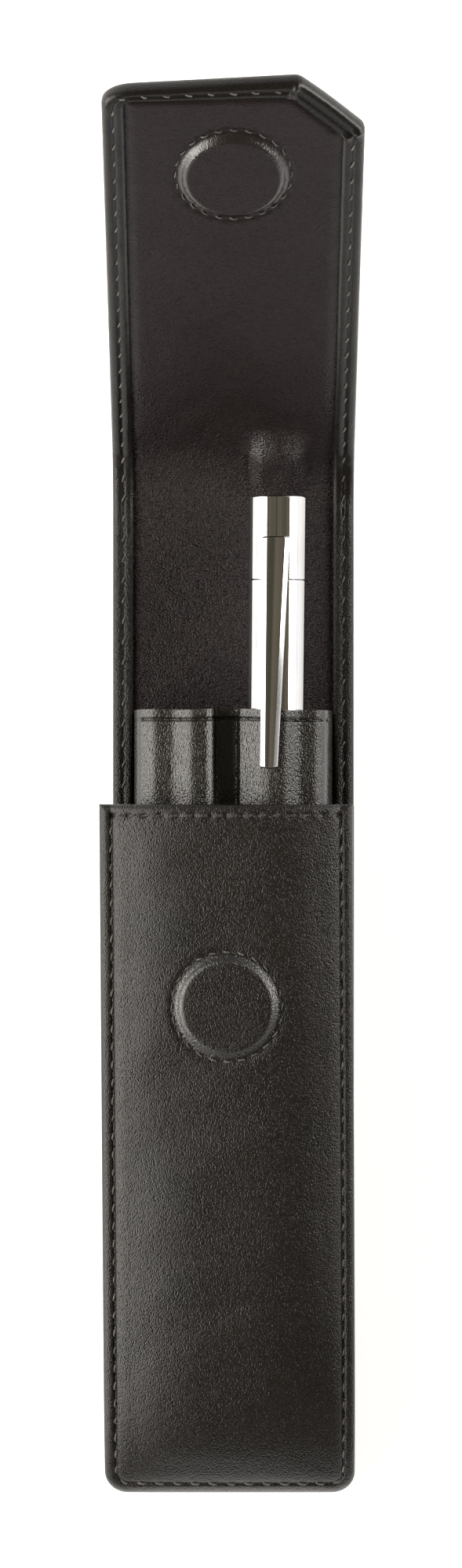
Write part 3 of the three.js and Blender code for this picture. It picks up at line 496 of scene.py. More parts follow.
def magnet_bump(x, y):
    """Height over a magnet: a flat disc, a round shoulder, and a furrow that its ring of stitches puckers."""
    radius = np.hypot(x, y)
    pulled = 0.5 - 0.5 * np.cos(RING_COUNT * np.arctan2(y, x))
    furrow = RING_FURROW * bell(radius - BUMP_STITCH, RING_FURROW_WIDTH)
    furrow += RING_PUCKER * pulled * bell(radius - BUMP_STITCH - 0.15, RING_PUCKER_WIDTH)
    return BUMP_HEIGHT * (1 - ease(BUMP_FLAT, BUMP_FOOT, radius)) - furrow


def lining_height(x, along, edge):
    """Height of the lining, where edge is the distance in from the rim."""
    wrinkled = ease(*WRINKLES_START, along) * (1 - ease(*WRINKLES_END, along))
    height = INNER_FACE - LINING_PRESS * bell(edge, LINING_PRESS_WIDTH) - LINING_BELOW
    height += (0.02 + 0.05 * wrinkled) * ripple(x, along, 8, 11)
    height += 0.03 * wrinkled * ripple(x, along, 3.4, 12)
    swelling = 1 - ease(IMPRINT_HALF - IMPRINT_SIDE, IMPRINT_HALF, np.abs(x - IMPRINT_X))
    swelling = swelling * ease(IMPRINT_FROM, IMPRINT_TOP, along) * (1 - ease(IMPRINT_TOP, IMPRINT_TO, along))
    height += IMPRINT_HEIGHT * swelling
    return height + magnet_bump(x, along - FLAP_MAGNET)


def lining_skin(name, stations, material):
    inset = RIM - LINING_TUCK
    shares = np.linspace(-1, 1, LINING_COLUMNS)
    along = np.repeat(stations[:, None], len(shares), axis=1)
    left = inset - COVER_HALF
    right = right_edge(along, inset)
    x = (left + right) / 2 + (right - left) / 2 * shares
    edge = np.minimum(np.minimum(x - left, right - x), FLAP_TIP - inset - along) - LINING_TUCK
    points = cover_point(x, along, lining_height(x, along, edge))
    return grid_piece(name, points, joined(x, along), material)


# Front panel

def front_lean(along):
    """Shift of the panel's middle line across the case."""
    return FRONT_LEAN_BOTTOM + (FRONT_LEAN - FRONT_LEAN_BOTTOM) * along / FRONT_LENGTH


def front_half(along):
    into = np.maximum(FRONT_CORNER - along, 0)
    return FRONT_HALF - FRONT_CORNER + np.sqrt(np.maximum(FRONT_CORNER ** 2 - into ** 2, 0))


def front_height(x, along):
    share = x / FRONT_HALF
    rise = FRONT_RISE - FRONT_CROWN * np.abs(share) ** 3 + FRONT_TILT * x
    rise = rise * (1 - np.exp(-along / FRONT_SWELL))
    return FRONT_EDGE + rise + FRONT_SLOPE * along


def front_inset(x, along):
    """Distance in from the panel's sewn outline, with its rounded bottom corners."""
    side = FRONT_HALF - np.abs(x)
    corner_x = np.maximum(FRONT_CORNER - side, 0)
    corner_y = np.maximum(FRONT_CORNER - along, 0)
    rounded = FRONT_CORNER - np.hypot(corner_x, corner_y)
    return np.where((corner_x > 0) & (corner_y > 0), rounded, np.minimum(side, along))


def mouth_pricks(x):
    """The mouth's seam: the leather dips where the needle went through and puckers up in between."""
    between = 0.5 - 0.5 * np.cos(2 * math.pi * (x + MOUTH_HALF) / MOUTH_PITCH)
    return MOUTH_PUCKER * between - MOUTH_PRICK * (1 - between) ** 3


def front_relief(x, along):
    """What sewing, the magnet and use add to the panel's plain swell."""
    sewn = front_inset(x, along)
    mouth = FRONT_LENGTH - along
    edge = np.minimum(sewn, mouth)
    rolled = np.clip(1 - edge / FRONT_ROLL, 0, 1)
    relief = -FRONT_ROLL_DROP * (1 - np.sqrt(np.maximum(1 - rolled ** 2, 0)))
    relief -= FURROW_DEPTH * bell(sewn - FRONT_STITCH, FURROW_WIDTH) * ease(0.6, 2.2, mouth)
    relief += mouth_pricks(x) * bell(mouth - MOUTH_STITCH, MOUTH_WIDTH) * ease(1.2, MOUTH_END, sewn)
    # A low ridge inside the seam, and leather that stands up outside it
    relief += 0.08 * bell(sewn - 3.6, 1.1)
    relief += 0.5 * np.clip(FRONT_STITCH - sewn, 0, None) * (1 - np.exp(-along / FRONT_SWELL))
    # Unevenness of use, and a dent beside the magnet
    inside = ease(2.5, 9, edge)
    relief += inside * (0.22 * ripple(x, along, 34, 21) + 0.07 * ripple(x, along, 12, 22))
    from_dent = np.hypot(x - DENT_X, (along - DENT_ALONG) / DENT_STRETCH)
    relief -= DENT_DEPTH * inside * bell(from_dent, DENT_WIDTH)
    return relief + magnet_bump(x, along - FRONT_MAGNET)


def front_surface(x, along):
    z = front_height(x, along) + front_relief(x, along)
    return joined(front_lean(along) + x, FRONT_LOW[1] + along, z)


def front_panel(material):
    along = edged(0, FRONT_LENGTH, 0.45)[:, None]
    shares = edged(-FRONT_HALF, FRONT_HALF, 0.45)[None] / FRONT_HALF
    x = shares * front_half(along)
    along = along + 0 * x
    top = front_surface(x, along)
    plain = front_height(x, along) - FRONT_DEEP
    under = joined(top[..., 0], top[..., 1], np.minimum(plain, top[..., 2] - FRONT_LEAST))
    return slab_piece("front_panel", top, under, joined(x, along), material)


# Gussets and sleeve

def gusset(name, side, material):
    along = spaced(GUSSET_START, FRONT_LENGTH - 0.4, 1.2)[:, None]
    turn = np.linspace(0, 1, 25)[None]
    low = LIP_TOP + GUSSET_CLEAR + GUSSET_THICK / 2
    under = front_height(side * (GUSSET_OUT - 1.2), along) - FRONT_DEEP - GUSSET_THICK / 2 - GUSSET_CLEAR
    fold = (GUSSET_OUT - GUSSET_FOLD) * np.sin(math.pi * turn) ** 1.4
    wavy = GUSSET_WAVE * ripple(turn * 9, along, 14, 31) * np.sin(math.pi * turn)
    x = side * (GUSSET_OUT - fold) + front_lean(along) * turn + wavy
    z = low + (under - low) * turn
    middle = joined(x, FRONT_LOW[1] + along, z)
    slope = np.gradient(middle, axis=1)
    normal = unit(joined(slope[..., 2], 0, -slope[..., 0])) * side * GUSSET_THICK / 2
    return slab_piece(name, middle + normal, middle - normal, joined(turn * GUSSET_WIDTH, along), material)


def pen_axis_at(y):
    """The pen's axis across the case and above the table, at a place along the case."""
    back = (PEN_END[1] - y) / PEN_AXIS[1]
    return PEN_END[0] - back * PEN_AXIS[0], PEN_END[2] - back * PEN_AXIS[2]


DRAPE_ROUND = 0.5


def draped(x, places):
    """Height share along a chain of (place across, share) points with its corners rounded."""
    across, share = np.array(places).T
    offsets = np.linspace(-2, 2, 17)
    weights = np.exp(-offsets ** 2)
    total = 0
    for offset, weight in zip(offsets, weights / weights.sum()):
        total += weight * np.interp(x + offset * DRAPE_ROUND, across, share)
    return total


# Sheet over the empty channel and over the pen, across the pouch and as a share of each channel's crest.
# The pen's places hold for a pen whose axis is at PEN_DRAPE_X, and move with it.
EMPTY_DRAPE = [
    (-17.4, 0), (-16.9, 0.2), (-16.6, 0.45), (-16.2, 0.6), (-13.7, 0.79), (-13.1, 0.805), (-10.4, 0.81),
    (-9.8, 0.835), (-7.3, 1.01), (-6.5, 1.02), (-4.3, 0.995), (-3.6, 1.075), (2, 1.0),
]
PEN_DRAPE = [
    (-2, 0.6), (1.1, 0.735), (4.5, 0.945), (6.2, 0.99), (8.6, 0.99), (9.0, 0.98), (11.1, 0.85), (11.5, 0.84),
    (14.0, 0.825), (14.4, 0.8), (15.8, 0.7), (16.4, 0.45), (16.9, 0.15), (17.2, 0),
]
PEN_DRAPE_X = 7.2
# Where the room under the front panel is measured for each channel
EMPTY_ROOM_X = -14
PEN_ROOM_X = 12
# The strip between the channels that is sewn down flat, across the pouch and as a share of the empty crest
VALLEY_LEFT = (-3.45, -2.9)
VALLEY_RIGHT = (0.6, 1.1)
VALLEY_HEIGHT = 0.71
VALLEY_BARE = 0.3


def sleeve_rows(y, lift):
    """Rows of the sleeve's sheet; lift is 0 on its inner face and 1 on its outer face."""
    x = spaced(-SLEEVE_HALF, SLEEVE_HALF, 0.18)[None]
    pen_x, pen_z = pen_axis_at(y)
    along = np.minimum(y - FRONT_LOW[1], FRONT_LENGTH)

    def room(place):
        return front_height(place - front_lean(along), along) - FRONT_DEEP - SLEEVE_LEATHER - SLEEVE_CLEAR

    empty_crest = np.minimum(EMPTY_CREST, room(EMPTY_ROOM_X)) - SLEEVE_BASE
    pen_crest = np.minimum(pen_z + PEN_RADIUS + PEN_CLEAR, room(PEN_ROOM_X)) - SLEEVE_BASE
    valley = VALLEY_HEIGHT * empty_crest
    empty = (empty_crest * draped(x, EMPTY_DRAPE) - valley) * (1 - ease(*VALLEY_LEFT, x))
    pen = (pen_crest * draped(x - (pen_x - PEN_DRAPE_X), PEN_DRAPE) - valley) * ease(*VALLEY_RIGHT, x)
    z = SLEEVE_BASE + valley + empty + pen
    if lift:
        worn = ease(20, 34, y)
        z = z + SLEEVE_LEATHER + worn * 0.04 * ripple(x, y, 9, 41)
        z = z - SLEEVE_FURROW * bell(y - (SLEEVE_TOP - SLEEVE_STITCH), SLEEVE_FURROW_WIDTH)
    return joined(x, y, z)


def sleeve(material):
    coarse = spaced(SLEEVE_BOTTOM, SLEEVE_FINE_FROM, 2.5)[:-1]
    fine = SLEEVE_TOP - edged(0, SLEEVE_TOP - SLEEVE_FINE_FROM, 0.5)[::-1]
    y = np.unique(np.round(np.concatenate([coarse, fine]), 4))[:, None]
    top = sleeve_rows(y, 1)
    bottom = sleeve_rows(y, 0)
    at_mouth = ease(SLEEVE_TOP - SLEEVE_SAG_LONG, SLEEVE_TOP, y)
    sag = SLEEVE_SAG * ripple(top[-1:, :, 0], 0, 13, 42) * at_mouth
    top[..., 1] += sag
    bottom[..., 1] += sag
    return slab_piece("sleeve", top, bottom, top[..., :2], material)


def sleeve_wall(material):
    low, high = box_mm("sleeve_back")
    x = edged(low[0], high[0], 2.0)[None]
    y = edged(low[1], high[1], 2.0)[:, None]
    return slab_piece("sleeve_wall", joined(x, y, high[2]), joined(x, y, low[2]), joined(x, y), material)


# Stitches

STITCH_SIDES = 8
STITCH_RINGS = np.array([-1, -0.85, -0.5, 0, 0.5, 0.85, 1])
STITCH_THICKNESS = np.array([0.55, 0.85, 1, 1.05, 1, 0.85, 0.55])
STITCH_LIFT = 0.13
STITCH_DIVE = 0.42


def sew(name, line, pitch, seed, material, body=None, share=0.62, radius=0.19, slope=0.13, closed=False):
    """Piece of stitches along a line, each a short thread that dives into the leather at its ends.

    line is points and their normals, share a stitch's length over the pitch, and slope how far its ends are
    aside of the line.
    """
    path, normals = line
    rng = np.random.RandomState(seed)
    steps = np.linalg.norm(np.diff(path, axis=0), axis=1)
    travelled = np.concatenate([[0], np.cumsum(steps)])
    count = round(travelled[-1] / pitch)
    pitch = travelled[-1] / count
    first = 0 if closed else pitch / 2
    vertices = []
    faces = []
    for k in range(count):
        middle = first + k * pitch
        half = pitch * share / 2 * rng.uniform(0.86, 1.06)
        lift = rng.uniform(-0.03, 0.07)
        slant = slope * rng.uniform(0.6, 1.4)
        at = (middle + STITCH_RINGS * half) % travelled[-1] if closed else middle + STITCH_RINGS * half
        centre = joined(*[np.interp(at, travelled, values) for values in path.T])
        up = unit(joined(*[np.interp(at, travelled, values) for values in normals.T]))
        side = np.cross(unit(centre[-1] - centre[0]), up)
        rise = lift + STITCH_LIFT - STITCH_DIVE * np.abs(STITCH_RINGS) ** 3
        centre = centre + up * rise[:, None] + side * (slant * STITCH_RINGS)[:, None]
        thick = radius * STITCH_THICKNESS
        base = len(vertices)
        for ring in range(len(STITCH_RINGS)):
            for turn in np.arange(STITCH_SIDES) * 2 * math.pi / STITCH_SIDES:
                spoke = side[ring] * math.cos(turn) + up[ring] * math.sin(turn)
                vertices.append((centre[ring] + spoke * thick[ring]) * MM)
        for ring in range(len(STITCH_RINGS) - 1):
            a = base + ring * STITCH_SIDES
            for i in range(STITCH_SIDES):
                j = (i + 1) % STITCH_SIDES
                faces.append((a + i, a + j, a + STITCH_SIDES + j, a + STITCH_SIDES + i))
        last = base + (len(STITCH_RINGS) - 1) * STITCH_SIDES
        faces.append(tuple(range(base + STITCH_SIDES - 1, base - 1, -1)))
        faces.append(tuple(range(last, last + STITCH_SIDES)))
    return make_piece(name, [tuple(v) for v in vertices], faces, material, body)


def on_cover(plan, height):
    points = cover_point(*plan.T, height)
    return points, cover_point(*plan.T, height + 1.0) - points


def on_front(x, along):
    points = front_surface(x, along)
    small = 0.6
    across = front_surface(x + small, along) - front_surface(x - small, along)
    forward = front_surface(x, along + small) - front_surface(x, along - small)
    return points, unit(np.cross(across, forward))


def cover_stitches(name, plan, seed, under=False):
    """Stitches of the cover's rim, on its inner face or under it on the outer one."""
    if under:
        points, normals = on_cover(plan, UNDER_STITCH)
        return sew(name, (points, -normals), SEAM_PITCH, seed, THREAD)
    line = on_cover(plan, OVER_STITCH)
    return sew(name, line, SEAM_PITCH, seed, THREAD, share=0.42, radius=0.17, slope=0.28)


# Pen

PEN_Z = unit(np.array([0, 0, 1.0]) - PEN_AXIS[2] * PEN_AXIS)
PEN_X = np.cross(PEN_AXIS, PEN_Z)


def pen_point(x, down, z):
    """Point from across, down from the flat end, and up, in the pen's own directions."""
    across = PEN_END + np.multiply.outer(x, PEN_X)
    return across - np.multiply.outer(down, PEN_AXIS) + np.multiply.outer(z, PEN_Z)


def turned(name, profile, material, body):
    """Piece of revolution on the pen's axis from radius and distance down it."""
    turn = np.linspace(0, 2 * math.pi, 97)
    radius, down = np.array(profile).T[:, :, None] + 0 * turn
    points = pen_point(radius * np.cos(turn), down, radius * np.sin(turn))
    return grid_piece(name, points, joined(turn * PEN_RADIUS, down), material, body)


def collar(radius, start, end, bore, round_start=PEN_EDGE):
    """Profile of a hollow collar with softly broken edges."""
    return [
        (bore, start), (radius - round_start * 2, start),
        (radius - round_start * 0.6, start + round_start * 0.6), (radius, start + round_start * 2),
        (radius, start + round_start * 2 + 0.05), (radius, (start + end) / 2),
        (radius, end - PEN_EDGE * 2 - 0.05), (radius, end - PEN_EDGE * 2),
        (radius - PEN_EDGE * 0.6, end - PEN_EDGE * 0.6), (radius - PEN_EDGE * 2, end),
        (bore, end), (bore, start),
    ]


def clip(material):
    """Flat clip with rounded edges, straight on its left and tapering on its right to a blunt tip."""
    corner = np.array([0, 0.02, 0.06, 0.13, 0.22, 0.34, 0.5])
    down = np.concatenate([
        CLIP_START + corner, spaced(CLIP_START + 1.5, CLIP_END - 1.0, 1.5), CLIP_END - corner[::-1],
    ])
    from_end = np.minimum(np.minimum(down - CLIP_START, CLIP_END - down), corner[-1])
    rounding = corner[-1] - np.sqrt(corner[-1] ** 2 - (corner[-1] - from_end) ** 2)
    left = CLIP_LEFT + rounding
    taper = (CLIP_TIP_RIGHT - CLIP_RIGHT) * (down - CLIP_START) / (CLIP_END - CLIP_START)
    right = CLIP_RIGHT + taper - rounding
    inward, drop = np.array(CLIP_EDGE).T
    rows = []
    for k in range(len(down)):
        top = CLIP_TOP - 0.6 * rounding[k]
        edge = np.maximum(top - drop, CLIP_LOW + 0.05)
        z = np.concatenate([[CLIP_LOW], edge, edge[::-1], [CLIP_LOW, CLIP_LOW]])
        x = np.concatenate([[left[k]], left[k] + inward, right[k] - inward[::-1], [right[k], left[k]]])
        rows.append(pen_point(x, np.full(len(x), down[k]), z))
    rows = np.array(rows)
    shut = [rows[end].mean(axis=0, keepdims=True).repeat(rows.shape[1], axis=0)[None] for end in (0, -1)]
    points = np.concatenate([shut[0], rows, shut[1]])
    return grid_piece("clip", points, points[..., :2], material, "pen")


# Materials

def adjust(node, settings):
    """Give a node's inputs their values by in_Name or in_number, and its other settings by their names."""
    for key, value in settings.items():
        if key.startswith("in_"):
            name = key[3:].replace("_", " ")
            node.inputs[int(name) if name.isdigit() else name].default_value = value
        else:
            setattr(node, key, value)
    return node


def node_tools(tree):
    """Two functions: one adds a node, and one links an output of a node to an input of another."""
    def add(kind, **settings):
        return adjust(tree.nodes.new(kind), settings)

    def link(source, output, target, entry):
        tree.links.new(source.outputs[output], target.inputs[entry])

    return add, link


def new_material(name, **settings):
    material = bpy.data.materials.new(name)
    material.use_nodes = True
    shader = adjust(material.node_tree.nodes["Principled BSDF"], settings)
    return material, shader, *node_tools(material.node_tree)


def noise_node(add, scale, detail=3.0, **settings):
    return add("ShaderNodeTexNoise", **settings, in_Scale=scale, in_Detail=detail)


def ramp(add, stops):
    node = add("ShaderNodeValToRGB")
    elements = node.color_ramp.elements
    while len(elements) < len(stops):
        elements.new(0.5)
    for element, (place, colour) in zip(elements, stops):
        element.position = place
        element.color = (*colour, 1)
    return node


def smooth_range(add, from_low, from_high, to_low, to_high):
    return add(
        "ShaderNodeMapRange", interpolation_type="SMOOTHSTEP",
        in_From_Min=from_low, in_From_Max=from_high, in_To_Min=to_low, in_To_Max=to_high)


def mottle(add, link, shader, noise, dark, light):
    """Colour that wanders from dark to light with a noise in the object's own coordinates.

    dark and light are each a value of the noise and a colour. It returns the node with the coordinates.
    """
    place = add("ShaderNodeTexCoord")
    tone = ramp(add, [dark, light])
    link(place, "Object", noise, "Vector")
    link(noise, "Fac", tone, "Fac")
    link(tone, "Color", shader, "Base Color")
    return place


def emboss(add, link, shader, texture, strength, distance):
    bump = add("ShaderNodeBump", in_Strength=strength, in_Distance=distance)
    link(texture, "Fac", bump, "Height")
    link(bump, "Normal", shader, "Normal")


def leather(name, dark, light, cell, stretch, grain, rough, shine, polished=(), calm=None):
    """Grained leather on the millimetre UV map.

    cell is the size of a pebble of grain in millimetres and stretch its width over its length. grain is how
    steep the pebbles are and shine the specular level. polished lists places with more shine, each a ring by
    its middle, radius, width and level. calm is two distances along, between which the grain fades.
    """
    material, shader, add, link = new_material(name, in_Specular_IOR_Level=shine)
    place = add("ShaderNodeUVMap", uv_map="grain")
    warp = noise_node(add, 0.45 / cell)
    shift = add("ShaderNodeVectorMath", operation="MULTIPLY_ADD", in_1=(1.1 * cell, 1.1 * cell, 0))
    squeeze = add("ShaderNodeMapping", in_Scale=(1 / cell, stretch / cell, 1))
    pebbles = add("ShaderNodeTexVoronoi", feature="F1", in_Scale=1.0, in_Randomness=0.95)
    domes = add("ShaderNodeMath", operation="POWER", in_1=2.0)
    link(warp, "Color", shift, 0)
    link(place, "UV", shift, 2)
    link(shift, 0, squeeze, "Vector")
    link(squeeze, 0, pebbles, "Vector")
    link(pebbles, "Distance", domes, 0)

    pores = noise_node(add, 2.2 / cell, in_Roughness=0.6)
    folds = noise_node(add, 0.35, in_Roughness=0.5)
    patches = noise_node(add, 0.06)
    for node in (warp, pores, folds, patches):
        link(place, "UV", node, "Vector")

    colour = ramp(add, [(0.3, dark), (0.72, light)])
    link(patches, "Fac", colour, "Fac")
    # Painted shade: the base colour is darkened in the furrows between the grain's domes, where shade falls.
    shade = add("ShaderNodeMix", data_type="RGBA", blend_type="MULTIPLY", in_Factor=0.6)
    furrow = ramp(add, [(0.12, (1, 1, 1)), (0.5, (0.35, 0.35, 0.35))])
    link(domes, 0, furrow, "Fac")
    link(colour, "Color", shade, "A")
    link(furrow, "Color", shade, "B")
    link(shade, "Result", shader, "Base Color")

    polish = add("ShaderNodeMapRange", in_To_Min=rough - 0.06, in_To_Max=rough + 0.1)
    link(folds, "Fac", polish, "Value")
    link(polish, "Result", shader, "Roughness")

    broad = add("ShaderNodeBump", in_Strength=0.3, in_Distance=0.00025)
    coarse = add("ShaderNodeBump", invert=True, in_Strength=1.0, in_Distance=grain * cell * MM)
    small = add("ShaderNodeBump", in_Strength=0.6, in_Distance=0.12 * cell * MM)
    link(folds, "Fac", broad, "Height")
    link(domes, 0, coarse, "Height")
    link(pores, "Fac", small, "Height")
    link(broad, "Normal", coarse, "Normal")
    link(coarse, "Normal", small, "Normal")
    link(small, "Normal", shader, "Normal")
    if calm:
        split = add("ShaderNodeSeparateXYZ")
        fade = smooth_range(add, *calm, 1.0, 0.2)
        link(place, "UV", split, 0)
        link(split, "Y", fade, "Value")
        link(fade, "Result", coarse, "Strength")
        link(fade, "Result", small, "Strength")
    last = None
    for middle, radius, width, peak in polished:
        from_middle = add("ShaderNodeVectorMath", operation="DISTANCE", in_1=(*middle, 0))
        aside = add("ShaderNodeMath", operation="SUBTRACT", in_1=radius)
        away = add("ShaderNodeMath", operation="ABSOLUTE")
        gloss = smooth_range(add, width / 4, width, peak, 0.0)
        strongest = add("ShaderNodeMath", operation="MAXIMUM", in_1=shine)
        link(place, "UV", from_middle, 0)
        link(from_middle, "Value", aside, 0)
        link(aside, 0, away, 0)
        link(away, 0, gloss, "Value")
        link(gloss, "Result", strongest, 0)
        if last:
            link(last, 0, strongest, 1)
        link(strongest, 0, shader, "Specular IOR Level")
        last = strongest
    return material


def thread_material(name, dark, light):
    """Twisted thread, worn unevenly."""
    material, shader, add, link = new_material(name, in_Roughness=0.38, in_Sheen_Weight=0.3)
    wear = noise_node(add, 900.0, 2.0)
    twist = add("ShaderNodeTexWave", bands_direction="DIAGONAL", in_Scale=1800.0, in_Distortion=1.5)
    place = mottle(add, link, shader, wear, (0.3, dark), (0.75, light))
    link(place, "Object", twist, "Vector")
    emboss(add, link, shader, twist, 0.5, 0.00006)
    return material


def metal_material(name, tint, rough, scratch):
    """Metal with faint smears in its polish and fine scratches."""
    material, shader, add, link = new_material(name, in_Metallic=1.0)
    smear = noise_node(add, 160.0)
    place = mottle(add, link, shader, smear, (0.3, tuple(0.93 * c for c in tint)), (0.7, tint))
    polish = add("ShaderNodeMapRange", in_To_Min=rough, in_To_Max=rough + 0.05)
    hair = add("ShaderNodeMapping", in_Scale=(2600, 90, 2600))
    lines = noise_node(add, 1.0, 2.0)
    link(place, "Object", hair, "Vector")
    link(hair, 0, lines, "Vector")
    link(smear, "Fac", polish, "Value")
    link(polish, "Result", shader, "Roughness")
    emboss(add, link, shader, lines, scratch, 0.00001)
    return material


def speckled_material(name, dark, light, scale, rough):
    """Plain board or moulded plastic with a fine uneven tone."""
    material, shader, add, link = new_material(name, in_Roughness=rough)
    grain = noise_node(add, scale, 6.0, in_Roughness=0.7)
    mottle(add, link, shader, grain, (0.35, dark), (0.65, light))
    emboss(add, link, shader, grain, 0.3, 0.00005)
    return material


def floor_material():
    """White table: it shows as white to the camera and in reflections, and keeps the object's shadow."""
    material, shader, add, link = new_material("floor", in_Roughness=0.9, in_Emission_Color=(1, 1, 1, 1))
    grain = noise_node(add, 30.0)
    mottle(add, link, shader, grain, (0.2, (0.84, 0.84, 0.84)), (0.8, (0.87, 0.87, 0.87)))
    path = add("ShaderNodeLightPath")
    seen = add("ShaderNodeMath", operation="MAXIMUM")
    seen_all = add("ShaderNodeMath", operation="MAXIMUM")
    glow = add("ShaderNodeMath", operation="MULTIPLY", in_1=FLOOR_GLOW)
    link(path, "Is Camera Ray", seen, 0)
    link(path, "Is Glossy Ray", seen, 1)
    link(seen, 0, seen_all, 0)
    link(path, "Is Transmission Ray", seen_all, 1)
    link(seen_all, 0, glow, 0)
    link(glow, 0, shader, "Emission Strength")
    return material


OUTER = leather(
    "outer_leather", (0.0115, 0.0095, 0.0089), (0.0185, 0.0155, 0.0145),
    cell=0.21, stretch=0.72, grain=0.38, rough=0.16, shine=0.43,
    polished=[((0, FRONT_MAGNET), SHOULDER, 1.2, 1.0)])
COVER = leather(
    "cover_leather", (0.0105, 0.0086, 0.0079), (0.0155, 0.013, 0.0119),
    cell=0.25, stretch=0.8, grain=0.42, rough=0.25, shine=0.38, calm=(0, 30))
LINING = leather(
    "lining_leather", (0.0182, 0.0118, 0.0127), (0.0248, 0.017, 0.018),
    cell=0.3, stretch=1.15, grain=0.8, rough=0.23, shine=0.28, calm=(6, 52),
    polished=[
        ((0, FLAP_MAGNET), SHOULDER, 1.2, 1.0),
        ((IMPRINT_X - 3.5, IMPRINT_TOP + 3.8), 0, 5.2, 0.8),
        ((IMPRINT_X + 3.2, IMPRINT_TOP + 3.8), 0, 4.6, 0.62),
    ])
SLEEVE = leather(
    "sleeve_leather", (0.0125, 0.0106, 0.009), (0.019, 0.0163, 0.0139),
    cell=0.21, stretch=0.6, grain=0.4, rough=0.2, shine=0.75)
THREAD = thread_material("thread", (0.05, 0.046, 0.042), (0.17, 0.16, 0.145))
# A second, near-black copy of the thread for the mouth's and the sleeve's seams: partly a darker thread,
# partly painted shade of the needle holes there.
DARK_AND_SHADED_THREAD = thread_material("dark_and_shaded_thread", (0.008, 0.007, 0.006), (0.035, 0.032, 0.028))
CHROME = metal_material("chrome", (0.62, 0.62, 0.63), 0.04, 0.12)
STEEL = metal_material("magnet_steel", (0.5, 0.5, 0.51), 0.3, 0.4)
BRASS = metal_material("refill_brass", (0.6, 0.42, 0.17), 0.2, 0.3)
BOARD = speckled_material("board", (0.2, 0.15, 0.1), (0.3, 0.23, 0.16), 700.0, 0.9)
PLASTIC = speckled_material("mechanism_plastic", (0.02, 0.02, 0.021), (0.035, 0.035, 0.036), 1500.0, 0.5)


# Leather pieces

def bend_at_first_crease(piece):
    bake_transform(piece)


def bend_at_second_crease(piece):
    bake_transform(piece)


back_cover = cover_skin("back_cover", BACK_CHAIN, BACK_RADII, COVER)
bend_at_first_crease(back_cover)
stand_in(back_cover, "outer_leather", "back_outer", "fold_outer")

flap_cover = cover_skin("flap_cover", FLAP_CHAIN, FLAP_RADII, COVER)
bend_at_second_crease(flap_cover)
stand_in(flap_cover, "outer_leather", "flap_outer")

coarse_stations = spaced(BACK_END + RIM, LINING_FINE_FROM, 4)[:-1]
back_stations = np.concatenate([coarse_stations, spaced(LINING_FINE_FROM, SPLIT, 0.45)])
back_lining = lining_skin("inner_back", back_stations, LINING)
bend_at_first_crease(back_lining)
stand_in(back_lining, "lining_leather", "back_lining", "fold_lining")

flap_stations = spaced(SPLIT, FLAP_TIP - RIM + LINING_TUCK, 0.4)
flap_lining = lining_skin("inner_flap", flap_stations, LINING)
bend_at_second_crease(flap_lining)
stand_in(flap_lining, "lining_leather", "flap_lining")

stand_in(front_panel(OUTER), "outer_leather", "front_outer", "front_lining")
for side_name, side in (("left", -1), ("right", 1)):
    stand_in(gusset(f"{side_name}_gore", side, COVER), "outer_leather", f"{side_name}_gusset")
stand_in(sleeve(SLEEVE), "outer_leather", "sleeve_front")
stand_in(sleeve_wall(LINING), "lining_leather", "sleeve_back")

# Seams

back_plan = inset_chain(BACK_CHAIN, BACK_RADII, RIM_STITCH, SEAM_STEP)
past_mouth = back_plan[:, 1] > FRONT_LENGTH + FRONT_LOW[1] - CREASE_Y + 1
left_plan = back_plan[past_mouth & (back_plan[:, 0] < -COVER_HALF + RIM)]
right_plan = back_plan[past_mouth & (back_plan[:, 0] > COVER_HALF - RIM)]
for side_name, plan, seed in (("left", left_plan, 51), ("right", right_plan, 52)):
    run = cover_stitches(f"back_{side_name}_stitches", plan, seed)
    bend_at_first_crease(run)
    stand_in(run, "thread", f"back_{side_name}_thread", f"fold_{side_name}_thread")

flap_plan = inset_chain(FLAP_CHAIN, FLAP_RADII, RIM_STITCH, SEAM_STEP)
cut_start = np.argmax(flap_plan[:, 1] > FLAP_TIP - FLAP_CUT - 1.5)
cut_end = np.argmax(flap_plan[:, 0] < COVER_HALF - FLAP_CUT - 1.0)
for name, plan, seed in (
    ("flap_right_stitches", flap_plan[:cut_start], 53), ("flap_tip_stitches", flap_plan[cut_end:], 61),
):
    run = cover_stitches(name, plan, seed)
    bend_at_second_crease(run)
    stand_in(run, "thread", "flap_seam_thread")

for name, plan, seed, bend in (
    ("back_outer_stitches", back_plan, 54, bend_at_first_crease),
    ("flap_outer_stitches", flap_plan, 55, bend_at_second_crease),
):
    run = cover_stitches(name, plan, seed, under=True)
    bend(run)

seam_top = FRONT_LENGTH - FRONT_SEAM_SHORT
front_chain = [(-FRONT_HALF, seam_top), (-FRONT_HALF, 0), (FRONT_HALF, 0), (FRONT_HALF, seam_top)]
front_plan = inset_chain(front_chain, [FRONT_CORNER, FRONT_CORNER], FRONT_STITCH, SEAM_STEP)
seam_line = on_front(*front_plan.T)
front_seam = sew("front_stitches", seam_line, FRONT_PITCH, 56, THREAD, "case", radius=0.2, slope=0.2)

mouth_x = spaced(-MOUTH_HALF, MOUTH_HALF, 0.2)
mouth_line = on_front(mouth_x, np.full(len(mouth_x), FRONT_LENGTH - MOUTH_STITCH))
front_mouth = sew(
    "mouth_stitches", mouth_line, MOUTH_PITCH, 57, DARK_AND_SHADED_THREAD, "case", share=0.8, radius=0.2, slope=-0.12)

